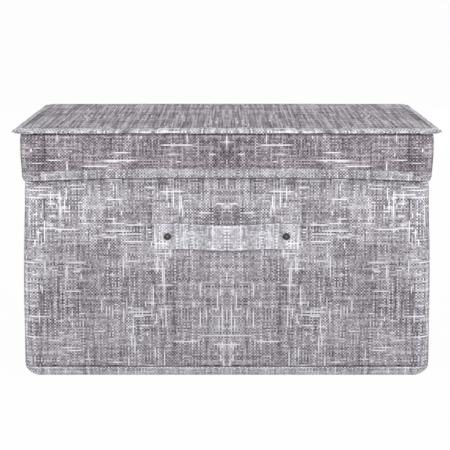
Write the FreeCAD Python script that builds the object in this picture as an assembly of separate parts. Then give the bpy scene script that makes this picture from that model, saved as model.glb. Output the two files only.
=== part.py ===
import FreeCAD, Part
import math
import os

from FreeCAD import Vector

# A linen-covered storage box with a lift-off lid, a loose base board and a strap handle.
# Millimetres. X runs along the length, -Y is the front with the handle, Z is up, and the
# origin is the centre of the footprint on the floor.
os.makedirs("parts", exist_ok=True)

# Overall sizes
body_length = 400.0  # outside, left to right
body_depth = 300.0  # outside, front to back
box_height = 250.0  # from the floor to the top of the lid

# Rounded edges of the body
base_corner_radius = 2.0  # corner of the flat base panel
bottom_edge_radius = 10.5  # from the wall round to the base panel
band_straight = 0.9  # upright part of the bottom band above its round
round_folds = 2  # flats into which the hidden side of the bottom's round is creased

# Sheet thicknesses
linen = 0.6
tape = 0.4
lining = 0.3
wall_board = 2.0
lid_board_thickness = 2.5
skirt_board_thickness = 0.8
base_board_thickness = 3.0

# Rim and boards of the body
rim_facing_height = 15.0  # how far the rim's facing is turned down inside
board_corner_clip = 4.0  # clipped corners of the wall boards
base_board_gap = 0.5  # all round, between the base board and the lining
base_cover_margin = 20.0  # cloth turned under the base board

# Lid
lid_depth = 51.5  # from the top of the lid to the lower edge of its skirt
lid_gap = 0.4  # all round, between the skirt's foot and the body
lid_seat_gap = 0.2  # between the lid's lining and the body's rim
skirt_flare = 2.2  # how much further out the skirt's top stands than its foot
hem_height = 9.8
skirt_board_setback = 7.8  # from the corner's axis to the end of the skirt's board
lip_seam_offset = 0.85  # from the body's face out to the seam of the lip
lip_width = 10.0  # from the seam to the outer edge
lip_droop = 2.6  # fall of the lip over its width
lip_core = 2.1  # seam allowances folded together inside the lip
lid_board_inset = 0.3  # from the lip's seam back to the lid board's edge
core_start = 1.2  # from the seam to where the folded allowances begin
lid_panel_overlap = 30.0  # width of the flat part made with each side of the lid's cover

# Strap handle and its rivets
strap_length = 144.0
strap_width = 25.3
strap_thickness = 1.6
strap_height = 142.4  # middle of the strap above the floor
strap_bow = 8.0  # finger gap at the middle
strap_flat_end = 22.0  # end of the strap that lies on the wall
rivet_from_end = 13.3
rivet_head_radius = 3.55
rivet_edge = 0.45  # upright edge of the head
rivet_dome_radius = 6.3  # radius of the sphere that the head's dome is part of
rivet_dimple_radius = 0.8
rivet_dimple_depth = 0.3
rivet_post_radius = 1.3
rivet_hole_clearance = 0.05
cap_height = 1.4
cap_grip = 0.8  # length of the post inside the cap
cap_end_clearance = 0.1

# Sizes that follow from the ones above
corner_radius = base_corner_radius + bottom_edge_radius
axis_x = body_length / 2 - corner_radius
axis_y = body_depth / 2 - corner_radius
wall = linen + wall_board + lining
band_top = bottom_edge_radius + band_straight
lid_cover_slope = math.atan2(lip_droop, lip_width)
lid_cover_top = box_height - tape * math.cos(lid_cover_slope)
lid_board_top = lid_cover_top - linen
lid_lining_top = lid_board_top - lid_board_thickness
lid_underside = lid_lining_top - lining
rim_top = lid_underside - lid_seat_gap
wall_top = rim_top - linen
skirt_foot = box_height - lid_depth
half_lip = tape + lip_core / 2
lip_fold_start = (lip_width - half_lip + half_lip * math.sin(lid_cover_slope)) / math.cos(lid_cover_slope)
seam_x = body_length / 2 + lip_seam_offset
seam_y = body_depth / 2 + lip_seam_offset
hem_thickness = tape + lining + skirt_board_thickness + linen + tape
skirt_seam_out = lid_gap + hem_thickness - tape + skirt_flare - lip_seam_offset
skirt_top = (
    box_height
    - math.tan(lid_cover_slope) * skirt_seam_out
    - (tape + lip_core) / math.cos(lid_cover_slope)
)

ORIGIN = Vector(0, 0, 0)
UP = Vector(0, 0, 1)
ARC = "middle of an arc"

# Half the straight run, the distance of the corner axes from the centre, and the turn about Z
ROUNDED_SIDES = {
    "front": (axis_x, axis_y, 0),
    "right": (axis_y, axis_x, 90),
    "back": (axis_x, axis_y, 180),
    "left": (axis_y, axis_x, 270),
}
MITRED_SIDES = {
    "front": (seam_x, seam_y, 0),
    "right": (seam_y, seam_x, 90),
    "back": (seam_x, seam_y, 180),
    "left": (seam_y, seam_x, 270),
}


def section(points):
    """A face in the XZ plane. A point that ends in ARC is the middle of an arc between its neighbours."""
    places = [Vector(point[0], 0, point[1]) for point in points]
    edges = []
    here = 0
    while here < len(points):
        after = (here + 1) % len(points)
        if points[after][-1] == ARC:
            end = (here + 2) % len(points)
            edges.append(Part.Arc(places[here], places[after], places[end]).toShape())
            here += 2
        else:
            edges.append(Part.makeLine(places[here], places[after]))
            here += 1
    return Part.Face(Part.Wire(edges))


def block(inner, outer, low, high):
    """The corners of an upright rectangular section."""
    return [(inner, low), (outer, low), (outer, high), (inner, high)]


def one_solid(shape):
    """The single solid that a fusion or a cut has left."""
    cleaned = shape.removeSplitter()
    if len(cleaned.Solids) != 1:
        raise ValueError(f"expected one solid and got {len(cleaned.Solids)}")
    return cleaned.Solids[0]


def facing_front(points):
    """A section turned so that its first coordinate points out of the front."""
    face = section(points)
    face.rotate(ORIGIN, UP, -90)
    return face


def rounded_side(side, points):
    """A wall with this section that turns 45 degrees round the corner axis at each end."""
    run, reach, turn = ROUNDED_SIDES[side]
    left_axis = Vector(-run, -reach, 0)
    right_axis = Vector(run, -reach, 0)
    left_end = facing_front(points).translated(left_axis)
    right_end = facing_front(points).translated(right_axis)
    straight = left_end.extrude(Vector(2 * run, 0, 0))
    left_corner = left_end.revolve(left_axis, UP, -45)
    right_corner = right_end.revolve(right_axis, UP, 45)
    whole = one_solid(straight.fuse([left_corner, right_corner]))
    whole.rotate(ORIGIN, UP, turn)
    return whole


def rounded_ring(points):
    """A closed ring with this section and rounded corners."""
    sides = [rounded_side(side, points) for side in ROUNDED_SIDES]
    return one_solid(sides[0].fuse(sides[1:]))


def rounded_plate(out, low, high):
    """A flat plate whose edge stands out from the corner axes by its corner radius."""
    plate = Part.makeBox(
        2 * (axis_x + out),
        2 * (axis_y + out),
        high - low,
        Vector(-axis_x - out, -axis_y - out, low),
    )
    upright = [edge for edge in plate.Edges if abs(edge.tangentAt(0).z) > 0.9]
    return plate.makeFillet(out, upright)


def straight_strip(side, points, setback):
    """A flat strip with this section along one side, ending short of the corner axes."""
    run, reach, turn = ROUNDED_SIDES[side]
    half = run - setback
    strip = facing_front(points).translated(Vector(-half, -reach, 0)).extrude(Vector(2 * half, 0, 0))
    strip.rotate(ORIGIN, UP, turn)
    return strip


def mitred_side(side, points):
    """A side of the lip with this section, measured out from its seam and cut on the diagonals."""
    run, reach, turn = MITRED_SIDES[side]
    inner = min(point[0] for point in points) - linen
    outer = max(point[0] for point in points) + linen
    low = min(point[1] for point in points) - linen
    high = max(point[1] for point in points) + linen
    length = 2 * (run + outer)
    strip = facing_front(points).translated(Vector(-length / 2, -reach, 0)).extrude(Vector(length, 0, 0))
    corners = [
        Vector(-run - inner, -reach - inner, low),
        Vector(-run - outer, -reach - outer, low),
        Vector(run + outer, -reach - outer, low),
        Vector(run + inner, -reach - inner, low),
    ]
    wedge = Part.Face(Part.makePolygon(corners + corners[:1])).extrude(Vector(0, 0, high - low))
    mitred = strip.common(wedge)
    mitred.rotate(ORIGIN, UP, turn)
    return one_solid(mitred)


def mitred_ring(points):
    """A closed ring with this section and square corners."""
    sides = [mitred_side(side, points) for side in MITRED_SIDES]
    return one_solid(sides[0].fuse(sides[1:]))


def lip_point(along, depth):
    """A point of the lip's section: along its slope from the seam, and down into its thickness."""
    out = along * math.cos(lid_cover_slope) - depth * math.sin(lid_cover_slope)
    height = box_height - along * math.sin(lid_cover_slope) - depth * math.cos(lid_cover_slope)
    return out, height


def skirt_lean(z):
    """How far the skirt has leaned out at this height above its foot."""
    return skirt_flare * (z - skirt_foot) / (box_height - skirt_foot)


def skirt_layer(inner, outer, low, high):
    """The section of one layer of the skirt, between two distances out from the body's face."""
    foot = corner_radius + lid_gap
    return [
        (foot + inner + skirt_lean(low), low),
        (foot + outer + skirt_lean(low), low),
        (foot + outer + skirt_lean(high), high),
        (foot + inner + skirt_lean(high), high),
    ]


def rivet_hole(x):
    """A cylinder through the wall and the strap on a rivet's axis."""
    reach = wall + strap_bow + strap_thickness
    start = Vector(x, -body_depth / 2 + reach, strap_height)
    return Part.makeCylinder(rivet_post_radius + rivet_hole_clearance, 2 * reach, start, Vector(0, -1, 0))


def pierced(shape):
    """The shape with a hole at each rivet."""
    return one_solid(shape.cut([rivet_hole(x) for x in rivet_places]))


def revolved(points, x, y):
    """A turned piece: radius and distance towards the front, about a rivet's axis."""
    turned = section(points).revolve(ORIGIN, UP, 360)
    turned.rotate(ORIGIN, Vector(1, 0, 0), 90)
    return turned.translated(Vector(x, y, strap_height)).Solids[0]


rivet_places = [
    -strap_length / 2 + rivet_from_end,
    strap_length / 2 - rivet_from_end,
]


# Walls of the body
def wall_covers():
    """Four linen panels that meet on the diagonals of the rounded corners."""
    points = block(corner_radius - linen, corner_radius, band_top, wall_top)
    covers = {f"{side}_cover": rounded_side(side, points) for side in ROUNDED_SIDES}
    covers["front_cover"] = pierced(covers["front_cover"])
    return covers


def wall_boards():
    """Four flat stiffeners with clipped corners, standing on the lining's ledge."""
    boards = {}
    for side, (run, reach, turn) in ROUNDED_SIDES.items():
        low_corner = Vector(-run, -reach - corner_radius + linen, band_top)
        board = Part.makeBox(2 * run, wall_board, wall_top - band_top, low_corner)
        through = [edge for edge in board.Edges if abs(edge.tangentAt(0).y) > 0.9]
        board = board.makeChamfer(board_corner_clip, through)
        board.rotate(ORIGIN, UP, turn)
        boards[f"{side}_board"] = board.Solids[0]
    boards["front_board"] = pierced(boards["front_board"])
    return boards


def wall_linings():
    """Four lining panels inside the boards."""
    face = corner_radius - wall
    points = block(face, face + lining, band_top, wall_top)
    linings = {f"{side}_lining": rounded_side(side, points) for side in ROUNDED_SIDES}
    linings["front_lining"] = pierced(linings["front_lining"])
    return linings


def rim_facing():
    """Linen turned over the top of the walls and down inside."""
    face = corner_radius - wall
    low = rim_top - rim_facing_height
    return rounded_ring(
        [
            (corner_radius, wall_top),
            (corner_radius, rim_top),
            (face - linen, rim_top),
            (face - linen, low),
            (face, low),
            (face, wall_top),
        ]
    )


# Bottom of the body
def bottom_round(depth, parts):
    """Points down the bottom edge's round, in equal turns, at a depth inside its outer face."""
    radius = bottom_edge_radius - depth
    turns = [math.pi / 2 * part / parts for part in range(parts + 1)]
    return [
        (base_corner_radius + radius * math.cos(turn), bottom_edge_radius - radius * math.sin(turn))
        for turn in turns
    ]


def bottom_edge_band():
    """The band of linen that carries the walls round to the base panel."""
    start, middle, end = bottom_round(0.0, 2)
    inner = bottom_round(linen, round_folds)
    return rounded_ring(
        [
            (corner_radius, band_top),
            start,
            (*middle, ARC),
            end,
            *reversed(inner),
            (corner_radius - linen, band_top),
        ]
    )


def bottom_cover():
    """The flat linen panel that the box stands on."""
    return rounded_plate(base_corner_radius, 0.0, linen)


def bottom_lining():
    """A lining tray that follows the rounded edge and ends in a ledge under the wall boards."""
    outer = bottom_round(linen, round_folds)
    inner = bottom_round(linen + lining, round_folds)
    ledge = corner_radius - wall
    tray = rounded_ring(
        [
            (corner_radius - linen, band_top),
            *outer,
            *reversed(inner),
            (corner_radius - linen - lining, band_top - lining),
            (ledge, band_top - lining),
            (ledge, band_top),
        ]
    )
    return one_solid(tray.fuse(rounded_plate(base_corner_radius, linen, linen + lining)))


# Loose base board
def base_board_pieces():
    """A stiff board in a cloth cover that is turned under it by a margin."""
    low = linen + lining
    edge = base_corner_radius - base_board_gap
    board_low = low + lining
    board_high = board_low + base_board_thickness
    board = rounded_plate(edge - lining, board_low, board_high)
    wrap = rounded_plate(edge, low, board_high + lining)
    half_x = axis_x + edge - base_cover_margin
    half_y = axis_y + edge - base_cover_margin
    window = Part.makeBox(2 * half_x, 2 * half_y, board_low, Vector(-half_x, -half_y, 0))
    return {
        "base_board": board.Solids[0],
        "base_board_cover": one_solid(wrap.cut([board, window])),
    }


# Strap handle
def strap_curve(depth):
    """The right half of one face of the strap, from its end to its middle, as x and bow."""
    free = strap_length / 2 - strap_flat_end
    radius = (free * free + strap_bow * strap_bow) / (4 * strap_bow)
    turn = math.asin(free / 2 / radius)
    leaving = radius - depth
    crown = radius + depth
    centre = strap_bow - radius
    return [
        (strap_length / 2, depth),
        (free, depth),
        (free - leaving * math.sin(turn / 2), radius - leaving * math.cos(turn / 2), ARC),
        (crown * math.sin(turn), centre + crown * math.cos(turn)),
    ], (0.0, centre + crown, ARC)


def handle_strap():
    """A strap that lies flat at its ends and bows away from the wall between them."""
    inner_half, inner_middle = strap_curve(0.0)
    outer_half, outer_middle = strap_curve(strap_thickness)

    def mirrored(points):
        return [(-point[0], *point[1:]) for point in reversed(points)]

    points = [
        *inner_half,
        inner_middle,
        *mirrored(inner_half),
        *mirrored(outer_half)[::-1],
        outer_middle,
        *outer_half[::-1],
    ]
    face = section(points)
    face.rotate(ORIGIN, Vector(1, 0, 0), 90)
    strap = face.extrude(Vector(0, 0, strap_width))
    place = Vector(0, -body_depth / 2, strap_height - strap_width / 2)
    return pierced(strap.translated(place))


def handle_rivets():
    """Two rivets with a domed, dimpled head outside and a post through the wall."""
    post_end = -strap_thickness - wall - cap_grip
    dome_centre = rivet_edge - math.sqrt(rivet_dome_radius**2 - rivet_head_radius**2)

    def on_dome(radius):
        """A point of the dome at this distance from the rivet's axis."""
        return radius, dome_centre + math.sqrt(rivet_dome_radius**2 - radius**2)

    points = [
        (0.0, post_end),
        (rivet_post_radius, post_end),
        (rivet_post_radius, 0.0),
        (rivet_head_radius, 0.0),
        (rivet_head_radius, rivet_edge),
        (*on_dome(math.sqrt(0.5) * rivet_head_radius), ARC),
        on_dome(rivet_dimple_radius),
        (0.0, on_dome(rivet_dimple_radius)[1] - rivet_dimple_depth),
    ]
    front = -body_depth / 2 - strap_thickness
    return Part.makeCompound([revolved(points, x, front) for x in rivet_places])


def rivet_caps():
    """Two flat caps pressed on the rivets' posts inside the box."""
    bore = rivet_post_radius + rivet_hole_clearance
    bore_end = -cap_grip - cap_end_clearance
    points = [
        (bore, 0.0),
        (rivet_head_radius, 0.0),
        (rivet_head_radius, -cap_height),
        (0.0, -cap_height),
        (0.0, bore_end),
        (bore, bore_end),
    ]
    inside = -body_depth / 2 + wall
    return Part.makeCompound([revolved(points, x, inside) for x in rivet_places])


# Lid
def lid_top_cover():
    """The lid's linen, flat over the board and then sloping down inside the lip, where it is folded."""
    fold_end = lip_fold_start + lip_core / 2
    under_corner = linen * math.tan(lid_cover_slope / 2)
    points = [
        (-lid_panel_overlap, lid_board_top),
        (-lid_panel_overlap, lid_cover_top),
        lip_point(0.0, tape),
        lip_point(lip_fold_start, tape),
        (*lip_point(fold_end, half_lip), ARC),
        lip_point(lip_fold_start, tape + lip_core),
        lip_point(core_start, tape + lip_core),
        lip_point(core_start, tape + linen),
        lip_point(under_corner, tape + linen),
    ]
    half_x = seam_x - lid_panel_overlap
    half_y = seam_y - lid_panel_overlap
    middle = Part.makeBox(2 * half_x, 2 * half_y, linen, Vector(-half_x, -half_y, lid_board_top))
    return one_solid(mitred_ring(points).fuse(middle))


def lid_edge_binding():
    """Tape folded over the lip, its lower leaf trimmed round the skirt, with square ears at the corners."""
    thickness = 2 * half_lip
    points = [
        lip_point(0.0, 0.0),
        lip_point(lip_fold_start, 0.0),
        (*lip_point(lip_fold_start + half_lip, half_lip), ARC),
        lip_point(lip_fold_start, thickness),
        lip_point(core_start, thickness),
        lip_point(core_start, thickness - tape),
        lip_point(lip_fold_start, thickness - tape),
        (*lip_point(lip_fold_start + half_lip - tape, half_lip), ARC),
        lip_point(lip_fold_start, tape),
        lip_point(0.0, tape),
    ]
    top_leaf_foot = lip_point(core_start, tape + linen)[1]
    skirt_outside = corner_radius + lid_gap + hem_thickness - tape + skirt_lean(skirt_top)
    skirt_space = rounded_plate(skirt_outside, skirt_foot, top_leaf_foot)
    return one_solid(mitred_ring(points).cut(skirt_space))


def lid_board():
    """The stiff board under the lid's linen."""
    out = corner_radius + lip_seam_offset - lid_board_inset
    return rounded_plate(out, lid_lining_top, lid_board_top).Solids[0]


def lid_lining():
    """The lining under the lid's board, sewn to the skirt's lining all round."""
    out = corner_radius + lid_gap + tape + lining + skirt_lean(lid_underside)
    return rounded_plate(out, lid_underside, lid_lining_top).Solids[0]


def skirt_pieces():
    """Linen, board and lining for each side of the skirt, leaning out towards the top."""
    low = skirt_foot + tape
    lining_out = tape + lining
    board_out = lining_out + skirt_board_thickness
    linen_out = board_out + linen
    pieces = {}
    for side in ROUNDED_SIDES:
        linen_points = skirt_layer(board_out, linen_out, low, skirt_top)
        board_points = skirt_layer(lining_out, board_out, low, skirt_top)
        lining_points = skirt_layer(tape, lining_out, low, lid_underside)
        pieces[f"skirt_{side}_cover"] = rounded_side(side, linen_points)
        pieces[f"skirt_{side}_board"] = straight_strip(side, board_points, skirt_board_setback).Solids[0]
        pieces[f"skirt_{side}_lining"] = rounded_side(side, lining_points)
    return pieces


def skirt_hem():
    """Tape folded round the lower edge of the skirt, its outer fold pressed at a slant."""
    low = skirt_foot + tape
    high = skirt_foot + hem_height
    inner = corner_radius + lid_gap
    outer = inner + hem_thickness
    return rounded_ring(
        [
            (inner + skirt_lean(high), high),
            (inner, skirt_foot),
            (outer - tape, skirt_foot),
            (outer + skirt_lean(low), low),
            (outer + skirt_lean(high), high),
            (outer - tape + skirt_lean(high), high),
            (outer - tape + skirt_lean(low), low),
            (inner + tape + skirt_lean(low), low),
            (inner + tape + skirt_lean(high), high),
        ]
    )


def storage_box():
    """Every piece of the box by its node name."""
    return {
        **wall_covers(),
        **wall_boards(),
        **wall_linings(),
        "rim_facing": rim_facing(),
        "bottom_edge_band": bottom_edge_band(),
        "bottom_cover": bottom_cover().Solids[0],
        "bottom_lining": bottom_lining(),
        **base_board_pieces(),
        "handle_strap": handle_strap(),
        "handle_rivets": handle_rivets(),
        "rivet_caps": rivet_caps(),
        "lid_top_cover": lid_top_cover(),
        "lid_edge_binding": lid_edge_binding(),
        "lid_board": lid_board(),
        "lid_lining": lid_lining(),
        **skirt_pieces(),
        "skirt_hem": skirt_hem(),
    }


for name, piece in storage_box().items():
    if not piece.isValid():
        raise ValueError(f"{name} is not a valid solid")
    piece.exportStep(f"parts/{name}.step")
    print(f"{name}: {len(piece.Solids)} solid, {piece.Volume / 1000:.2f} cm3")
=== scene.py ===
# %% [markdown]
# # A linen storage box
#
# The box is card covered in cloth: four walls, a flat lid with a deep skirt, a strap handle and
# a loose board on the bottom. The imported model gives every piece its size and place. This script
# dresses it: each cloth piece is worked out as a fine surface over its card, and each surface gets
# a woven material. All lengths are metres, +Z is up and the front faces -Y.

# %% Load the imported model
import bpy
import bmesh
import math
import numpy as np
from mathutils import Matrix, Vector


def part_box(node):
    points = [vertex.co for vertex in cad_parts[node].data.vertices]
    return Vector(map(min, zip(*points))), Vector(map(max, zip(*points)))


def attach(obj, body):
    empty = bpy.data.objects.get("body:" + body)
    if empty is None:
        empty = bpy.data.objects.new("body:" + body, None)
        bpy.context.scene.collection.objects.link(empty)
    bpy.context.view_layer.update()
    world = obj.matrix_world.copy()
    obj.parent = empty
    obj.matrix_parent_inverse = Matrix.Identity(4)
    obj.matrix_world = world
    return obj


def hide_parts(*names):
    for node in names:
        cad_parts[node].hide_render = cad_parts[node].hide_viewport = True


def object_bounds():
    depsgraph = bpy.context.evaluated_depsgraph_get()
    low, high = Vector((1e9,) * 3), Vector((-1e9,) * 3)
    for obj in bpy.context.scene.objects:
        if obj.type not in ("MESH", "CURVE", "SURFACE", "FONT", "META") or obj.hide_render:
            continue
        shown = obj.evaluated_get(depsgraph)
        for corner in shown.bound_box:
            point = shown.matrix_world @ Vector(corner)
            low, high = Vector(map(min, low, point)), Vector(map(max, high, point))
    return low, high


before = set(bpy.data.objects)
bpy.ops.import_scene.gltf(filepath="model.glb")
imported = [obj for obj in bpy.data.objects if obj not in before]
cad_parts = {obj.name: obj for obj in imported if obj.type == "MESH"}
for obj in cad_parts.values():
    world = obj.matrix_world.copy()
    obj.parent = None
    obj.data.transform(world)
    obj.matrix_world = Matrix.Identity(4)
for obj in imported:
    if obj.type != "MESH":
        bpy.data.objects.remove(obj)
packed_low, packed_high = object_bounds()
print("packed box", [round(v, 4) for v in (*packed_low, *packed_high)])

# %% [markdown]
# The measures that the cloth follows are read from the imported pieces, so that a change of size
# there carries through. Corners are built about four upright axes: a point of a wall is its axis,
# or a place between two axes, plus a radius in the outward direction.

# %% Measures
mm = 0.001


def low_of(node):
    """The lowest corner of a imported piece."""
    return np.array(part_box(node)[0])


def high_of(node):
    """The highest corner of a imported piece."""
    return np.array(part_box(node)[1])


body_half = high_of("bottom_edge_band")[:2]
axes = np.array([high_of("front_board")[0], high_of("right_board")[1]])
corner_radius = body_half[0] - axes[0]
band_top = low_of("front_cover")[2]
wall_top = high_of("front_cover")[2]
rim_top = high_of("rim_facing")[2]
facing_low = low_of("rim_facing")[2]
lining_face = corner_radius - (high_of("back_board")[1] - low_of("back_lining")[1]) - 0.6 * mm
lid_top = high_of("lid_edge_binding")[2]
lip_half = high_of("lid_edge_binding")[:2]
skirt_foot = low_of("skirt_hem")[2]
hem_top = high_of("skirt_hem")[2]
skirt_top = high_of("skirt_front_cover")[2]
lid_underside = low_of("lid_lining")[2]
strap_low = low_of("handle_strap")
strap_high = high_of("handle_strap")
strap_middle = (strap_high[2] + strap_low[2]) / 2
strap_flat_end = 22 * mm
strap_end_middle = strap_high[0] - strap_flat_end / 2
print("body", body_half, "axes", axes, "lid top", lid_top, "skirt foot", skirt_foot)

# %% [markdown]
# ## Camera
#
# The photograph is taken from far away with a long lens, a little above the lid, so the top shows
# as a narrow band and the front is almost square on. The camera stands 1.83 m in front of the box's
# middle and 0.41 m above the floor, and looks down by a little over eight and a half degrees. A hair
# of sideways shift sets the box where it stands in the photograph's frame.


# %% Camera
def place_in_scene(name, data):
    """A new object for a mesh, a lamp or a camera, linked into the scene."""
    made = bpy.data.objects.new(name, data)
    bpy.context.scene.collection.objects.link(made)
    return made


camera = place_in_scene("camera", bpy.data.cameras.new("camera"))
camera.data.sensor_width = 36.0
camera.data.lens = 137.7
camera.data.shift_x = -0.0041
camera.data.clip_start = 0.05
camera.data.clip_end = 60.0
camera_pitch = math.radians(8.605)
camera.location = (0.0, -1.8285, 0.4077)
camera.rotation_euler = (math.pi / 2 - camera_pitch, 0.0, 0.0)
bpy.context.scene.camera = camera
bpy.context.scene.view_settings.view_transform = "Standard"
print("camera", tuple(camera.location), "lens", camera.data.lens)

# %% [markdown]
# ## Small helpers for shader nodes
#
# A woven material takes many small sums. These helpers add a node, put a number or another node's
# output into a socket, and give the output back, so that a formula reads from left to right.


# %% Shader helpers
def add_node(tree, kind, **settings):
    """Adds a shader node and sets its properties."""
    made = tree.nodes.new(kind)
    for name, value in settings.items():
        setattr(made, name, value)
    return made


def feed(tree, socket, value):
    """Puts a number, a colour or another node's output into a socket."""
    if isinstance(value, bpy.types.NodeSocket):
        tree.links.new(value, socket)
    elif hasattr(value, "__len__"):
        socket.default_value = (*value, 1.0)[:4]
    else:
        socket.default_value = value


def calc(tree, operation, *values):
    """One Math node: the operation on numbers or outputs."""
    made = add_node(tree, "ShaderNodeMath", operation=operation)
    for socket, value in zip(made.inputs, values):
        feed(tree, socket, value)
    return made.outputs[0]


def ramp(tree, value, low, high):
    """Rises smoothly from 0 at low to 1 at high."""
    made = add_node(tree, "ShaderNodeMapRange", interpolation_type="SMOOTHSTEP")
    feed(tree, made.inputs["Value"], value)
    feed(tree, made.inputs["From Min"], low)
    feed(tree, made.inputs["From Max"], high)
    return made.outputs[0]


def joined(tree, *values):
    """Three numbers or outputs as one vector."""
    made = add_node(tree, "ShaderNodeCombineXYZ")
    for socket, value in zip(made.inputs, values):
        feed(tree, socket, value)
    return made.outputs[0]


def cloud(tree, across, along, shift):
    """Smooth noise between 0 and 1 of two coordinates. The shift picks another part of it."""
    made = add_node(tree, "ShaderNodeTexNoise", noise_dimensions="3D")
    feed(tree, made.inputs["Vector"], joined(tree, across, along, shift))
    feed(tree, made.inputs["Scale"], 1.0)
    feed(tree, made.inputs["Detail"], 0.0)
    return made.outputs[0]


def blend_numbers(tree, share, low, high):
    """low where the share is 0, and high where it is 1."""
    made = add_node(tree, "ShaderNodeMix", data_type="FLOAT")
    for socket, value in ((0, share), (2, low), (3, high)):
        feed(tree, made.inputs[socket], value)
    return made.outputs[0]


def blend_colours(tree, share, low, high, blend_type="MIX"):
    """One colour turned into another by a share, or multiplied by it."""
    made = add_node(tree, "ShaderNodeMix", data_type="RGBA", blend_type=blend_type)
    for socket, value in ((0, share), (6, low), (7, high)):
        feed(tree, made.inputs[socket], value)
    return made.outputs[2]


def empty_material(name):
    """A new material, its node tree and its principled shader."""
    made = bpy.data.materials.new(name)
    made.use_nodes = True
    return made, made.node_tree, made.node_tree.nodes["Principled BSDF"]


def add_relief(tree, shader, height, depth):
    """Bumps the shader's surface by a height between 0 and 1, this deep."""
    relief = add_node(tree, "ShaderNodeBump")
    feed(tree, relief.inputs["Strength"], 0.5)
    feed(tree, relief.inputs["Distance"], depth)
    feed(tree, relief.inputs["Height"], height)
    feed(tree, shader.inputs["Normal"], relief.outputs[0])


# %% [markdown]
# ## Floor and light
#
# The picture has a white ground. The floor is a pale matt plane that is mostly a white glow to the
# camera and to reflections, and keeps a faint shadow under the box. The light is two wide soft panels
# in front, one behind, and an even sky, so that a colour comes out about as it is written.

# %% Floor
floor_half = 22.0
floor_grey = 0.86
floor_glow = 0.97
floor_corners = [(x * floor_half, y * floor_half, 0) for x, y in ((-1, -1), (1, -1), (1, 1), (-1, 1))]
floor_mesh = bpy.data.meshes.new("floor")
floor_mesh.from_pydata(floor_corners, [], [(0, 1, 2, 3)])
place_in_scene("floor", floor_mesh)


def seen_directly(tree):
    """1 for rays from the camera, from mirrors and through glass, and 0 for the rays of soft light."""
    path = add_node(tree, "ShaderNodeLightPath")
    rays = calc(tree, "MAXIMUM", path.outputs["Is Camera Ray"], path.outputs["Is Glossy Ray"])
    return calc(tree, "MAXIMUM", rays, path.outputs["Is Transmission Ray"])


floor_material = bpy.data.materials.new("pale_floor")
floor_material.use_nodes = True
tree = floor_material.node_tree
tree.nodes.clear()
matt = add_node(tree, "ShaderNodeBsdfDiffuse")
feed(tree, matt.inputs["Color"], (floor_grey,) * 3)
glow = add_node(tree, "ShaderNodeEmission")
glow_share = calc(tree, "MULTIPLY", seen_directly(tree), floor_glow)
mixed = add_node(tree, "ShaderNodeMixShader")
feed(tree, mixed.inputs[0], glow_share)
tree.links.new(matt.outputs[0], mixed.inputs[1])
tree.links.new(glow.outputs[0], mixed.inputs[2])
tree.links.new(mixed.outputs[0], add_node(tree, "ShaderNodeOutputMaterial").inputs[0])
floor_mesh.materials.append(floor_material)

# %% Sky and lamps
sky_strength = 0.45
world = bpy.data.worlds.new("studio")
bpy.context.scene.world = world
world.use_nodes = True
tree = world.node_tree
tree.nodes.clear()
sky = add_node(tree, "ShaderNodeBackground")
feed(tree, sky.inputs["Color"], (1.0, 1.0, 1.0))
feed(tree, sky.inputs["Strength"], blend_numbers(tree, seen_directly(tree), sky_strength, 1.0))
tree.links.new(sky.outputs[0], add_node(tree, "ShaderNodeOutputWorld").inputs[0])

box_centre = Vector((packed_low + packed_high) / 2)


def soft_panel(name, place, size, watts):
    """A square lamp that faces the middle of the box."""
    lamp = bpy.data.lights.new(name, "AREA")
    lamp.shape = "SQUARE"
    lamp.size = size
    lamp.energy = watts
    made = place_in_scene(name, lamp)
    made.location = place
    made.rotation_euler = (box_centre - Vector(place)).to_track_quat("-Z", "Y").to_euler()


for side_name, side_x in (("left", -1.6), ("right", 1.6)):
    soft_panel(f"{side_name}_panel_lamp", (side_x, -2.2, 1.25), 1.2, 31.5)
soft_panel("back_panel_lamp", (0.8, 2.7, 1.1), 1.8, 18.0)
print("sky", sky_strength, "lamps", len(bpy.data.lights))

# %% [markdown]
# ## Surfaces
#
# Every cloth piece is a grid of points. Its columns run to the right as seen from outside, and its
# rows run up, so all faces point outwards. A second grid gives each point its place on the flat
# cloth, and becomes the UV map that the weave is drawn on, so threads follow the cloth round folds
# and corners and are nowhere stretched.


# %% Grids
def cloth_map(across, along):
    """Two coordinates on the flat cloth, spread to one pair for each point of a grid."""
    return np.stack(np.broadcast_arrays(across, along), -1)


def grid_mesh(name, points, cloth, wrap_rows=False, wrap_columns=False, inside_out=False):
    """Joins a grid of points, rows by columns by 3, with four-sided faces, and stores its cloth map."""
    rows, columns = points.shape[:2]
    index = np.arange(rows * columns).reshape(rows, columns)
    if wrap_rows:
        index = np.concatenate([index, index[:1]], 0)
    if wrap_columns:
        index = np.concatenate([index, index[:, :1]], 1)
    faces = np.stack([index[:-1, :-1], index[:-1, 1:], index[1:, 1:], index[1:, :-1]], -1)
    faces = faces.reshape(-1, 4)
    if inside_out:
        faces = faces[:, ::-1]
    mesh = bpy.data.meshes.new(name)
    mesh.from_pydata(points.reshape(-1, 3).tolist(), [], faces.tolist())
    corners = np.empty(len(mesh.loops), np.int32)
    mesh.loops.foreach_get("vertex_index", corners)
    layer = mesh.uv_layers.new(name="cloth")
    layer.data.foreach_set("uv", cloth.reshape(-1, 2)[corners].astype(np.float32).ravel())
    mesh.polygons.foreach_set("use_smooth", np.ones(len(mesh.polygons), bool))
    mesh.update()
    return place_in_scene(name, mesh)


def paint_shade(piece, values):
    """Keeps a number for each point: the share by which it is darker, or paler where it is below 0."""
    layer = piece.data.attributes.new("shade", "FLOAT", "POINT")
    layer.data.foreach_set("value", np.clip(values, -0.3, 0.9).astype(np.float32).ravel())


def thicken(piece, thickness):
    """Gives a sheet its thickness on its inner side."""
    solid = piece.modifiers.new("thickness", "SOLIDIFY")
    solid.thickness = thickness
    solid.offset = -1.0
    return piece


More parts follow.
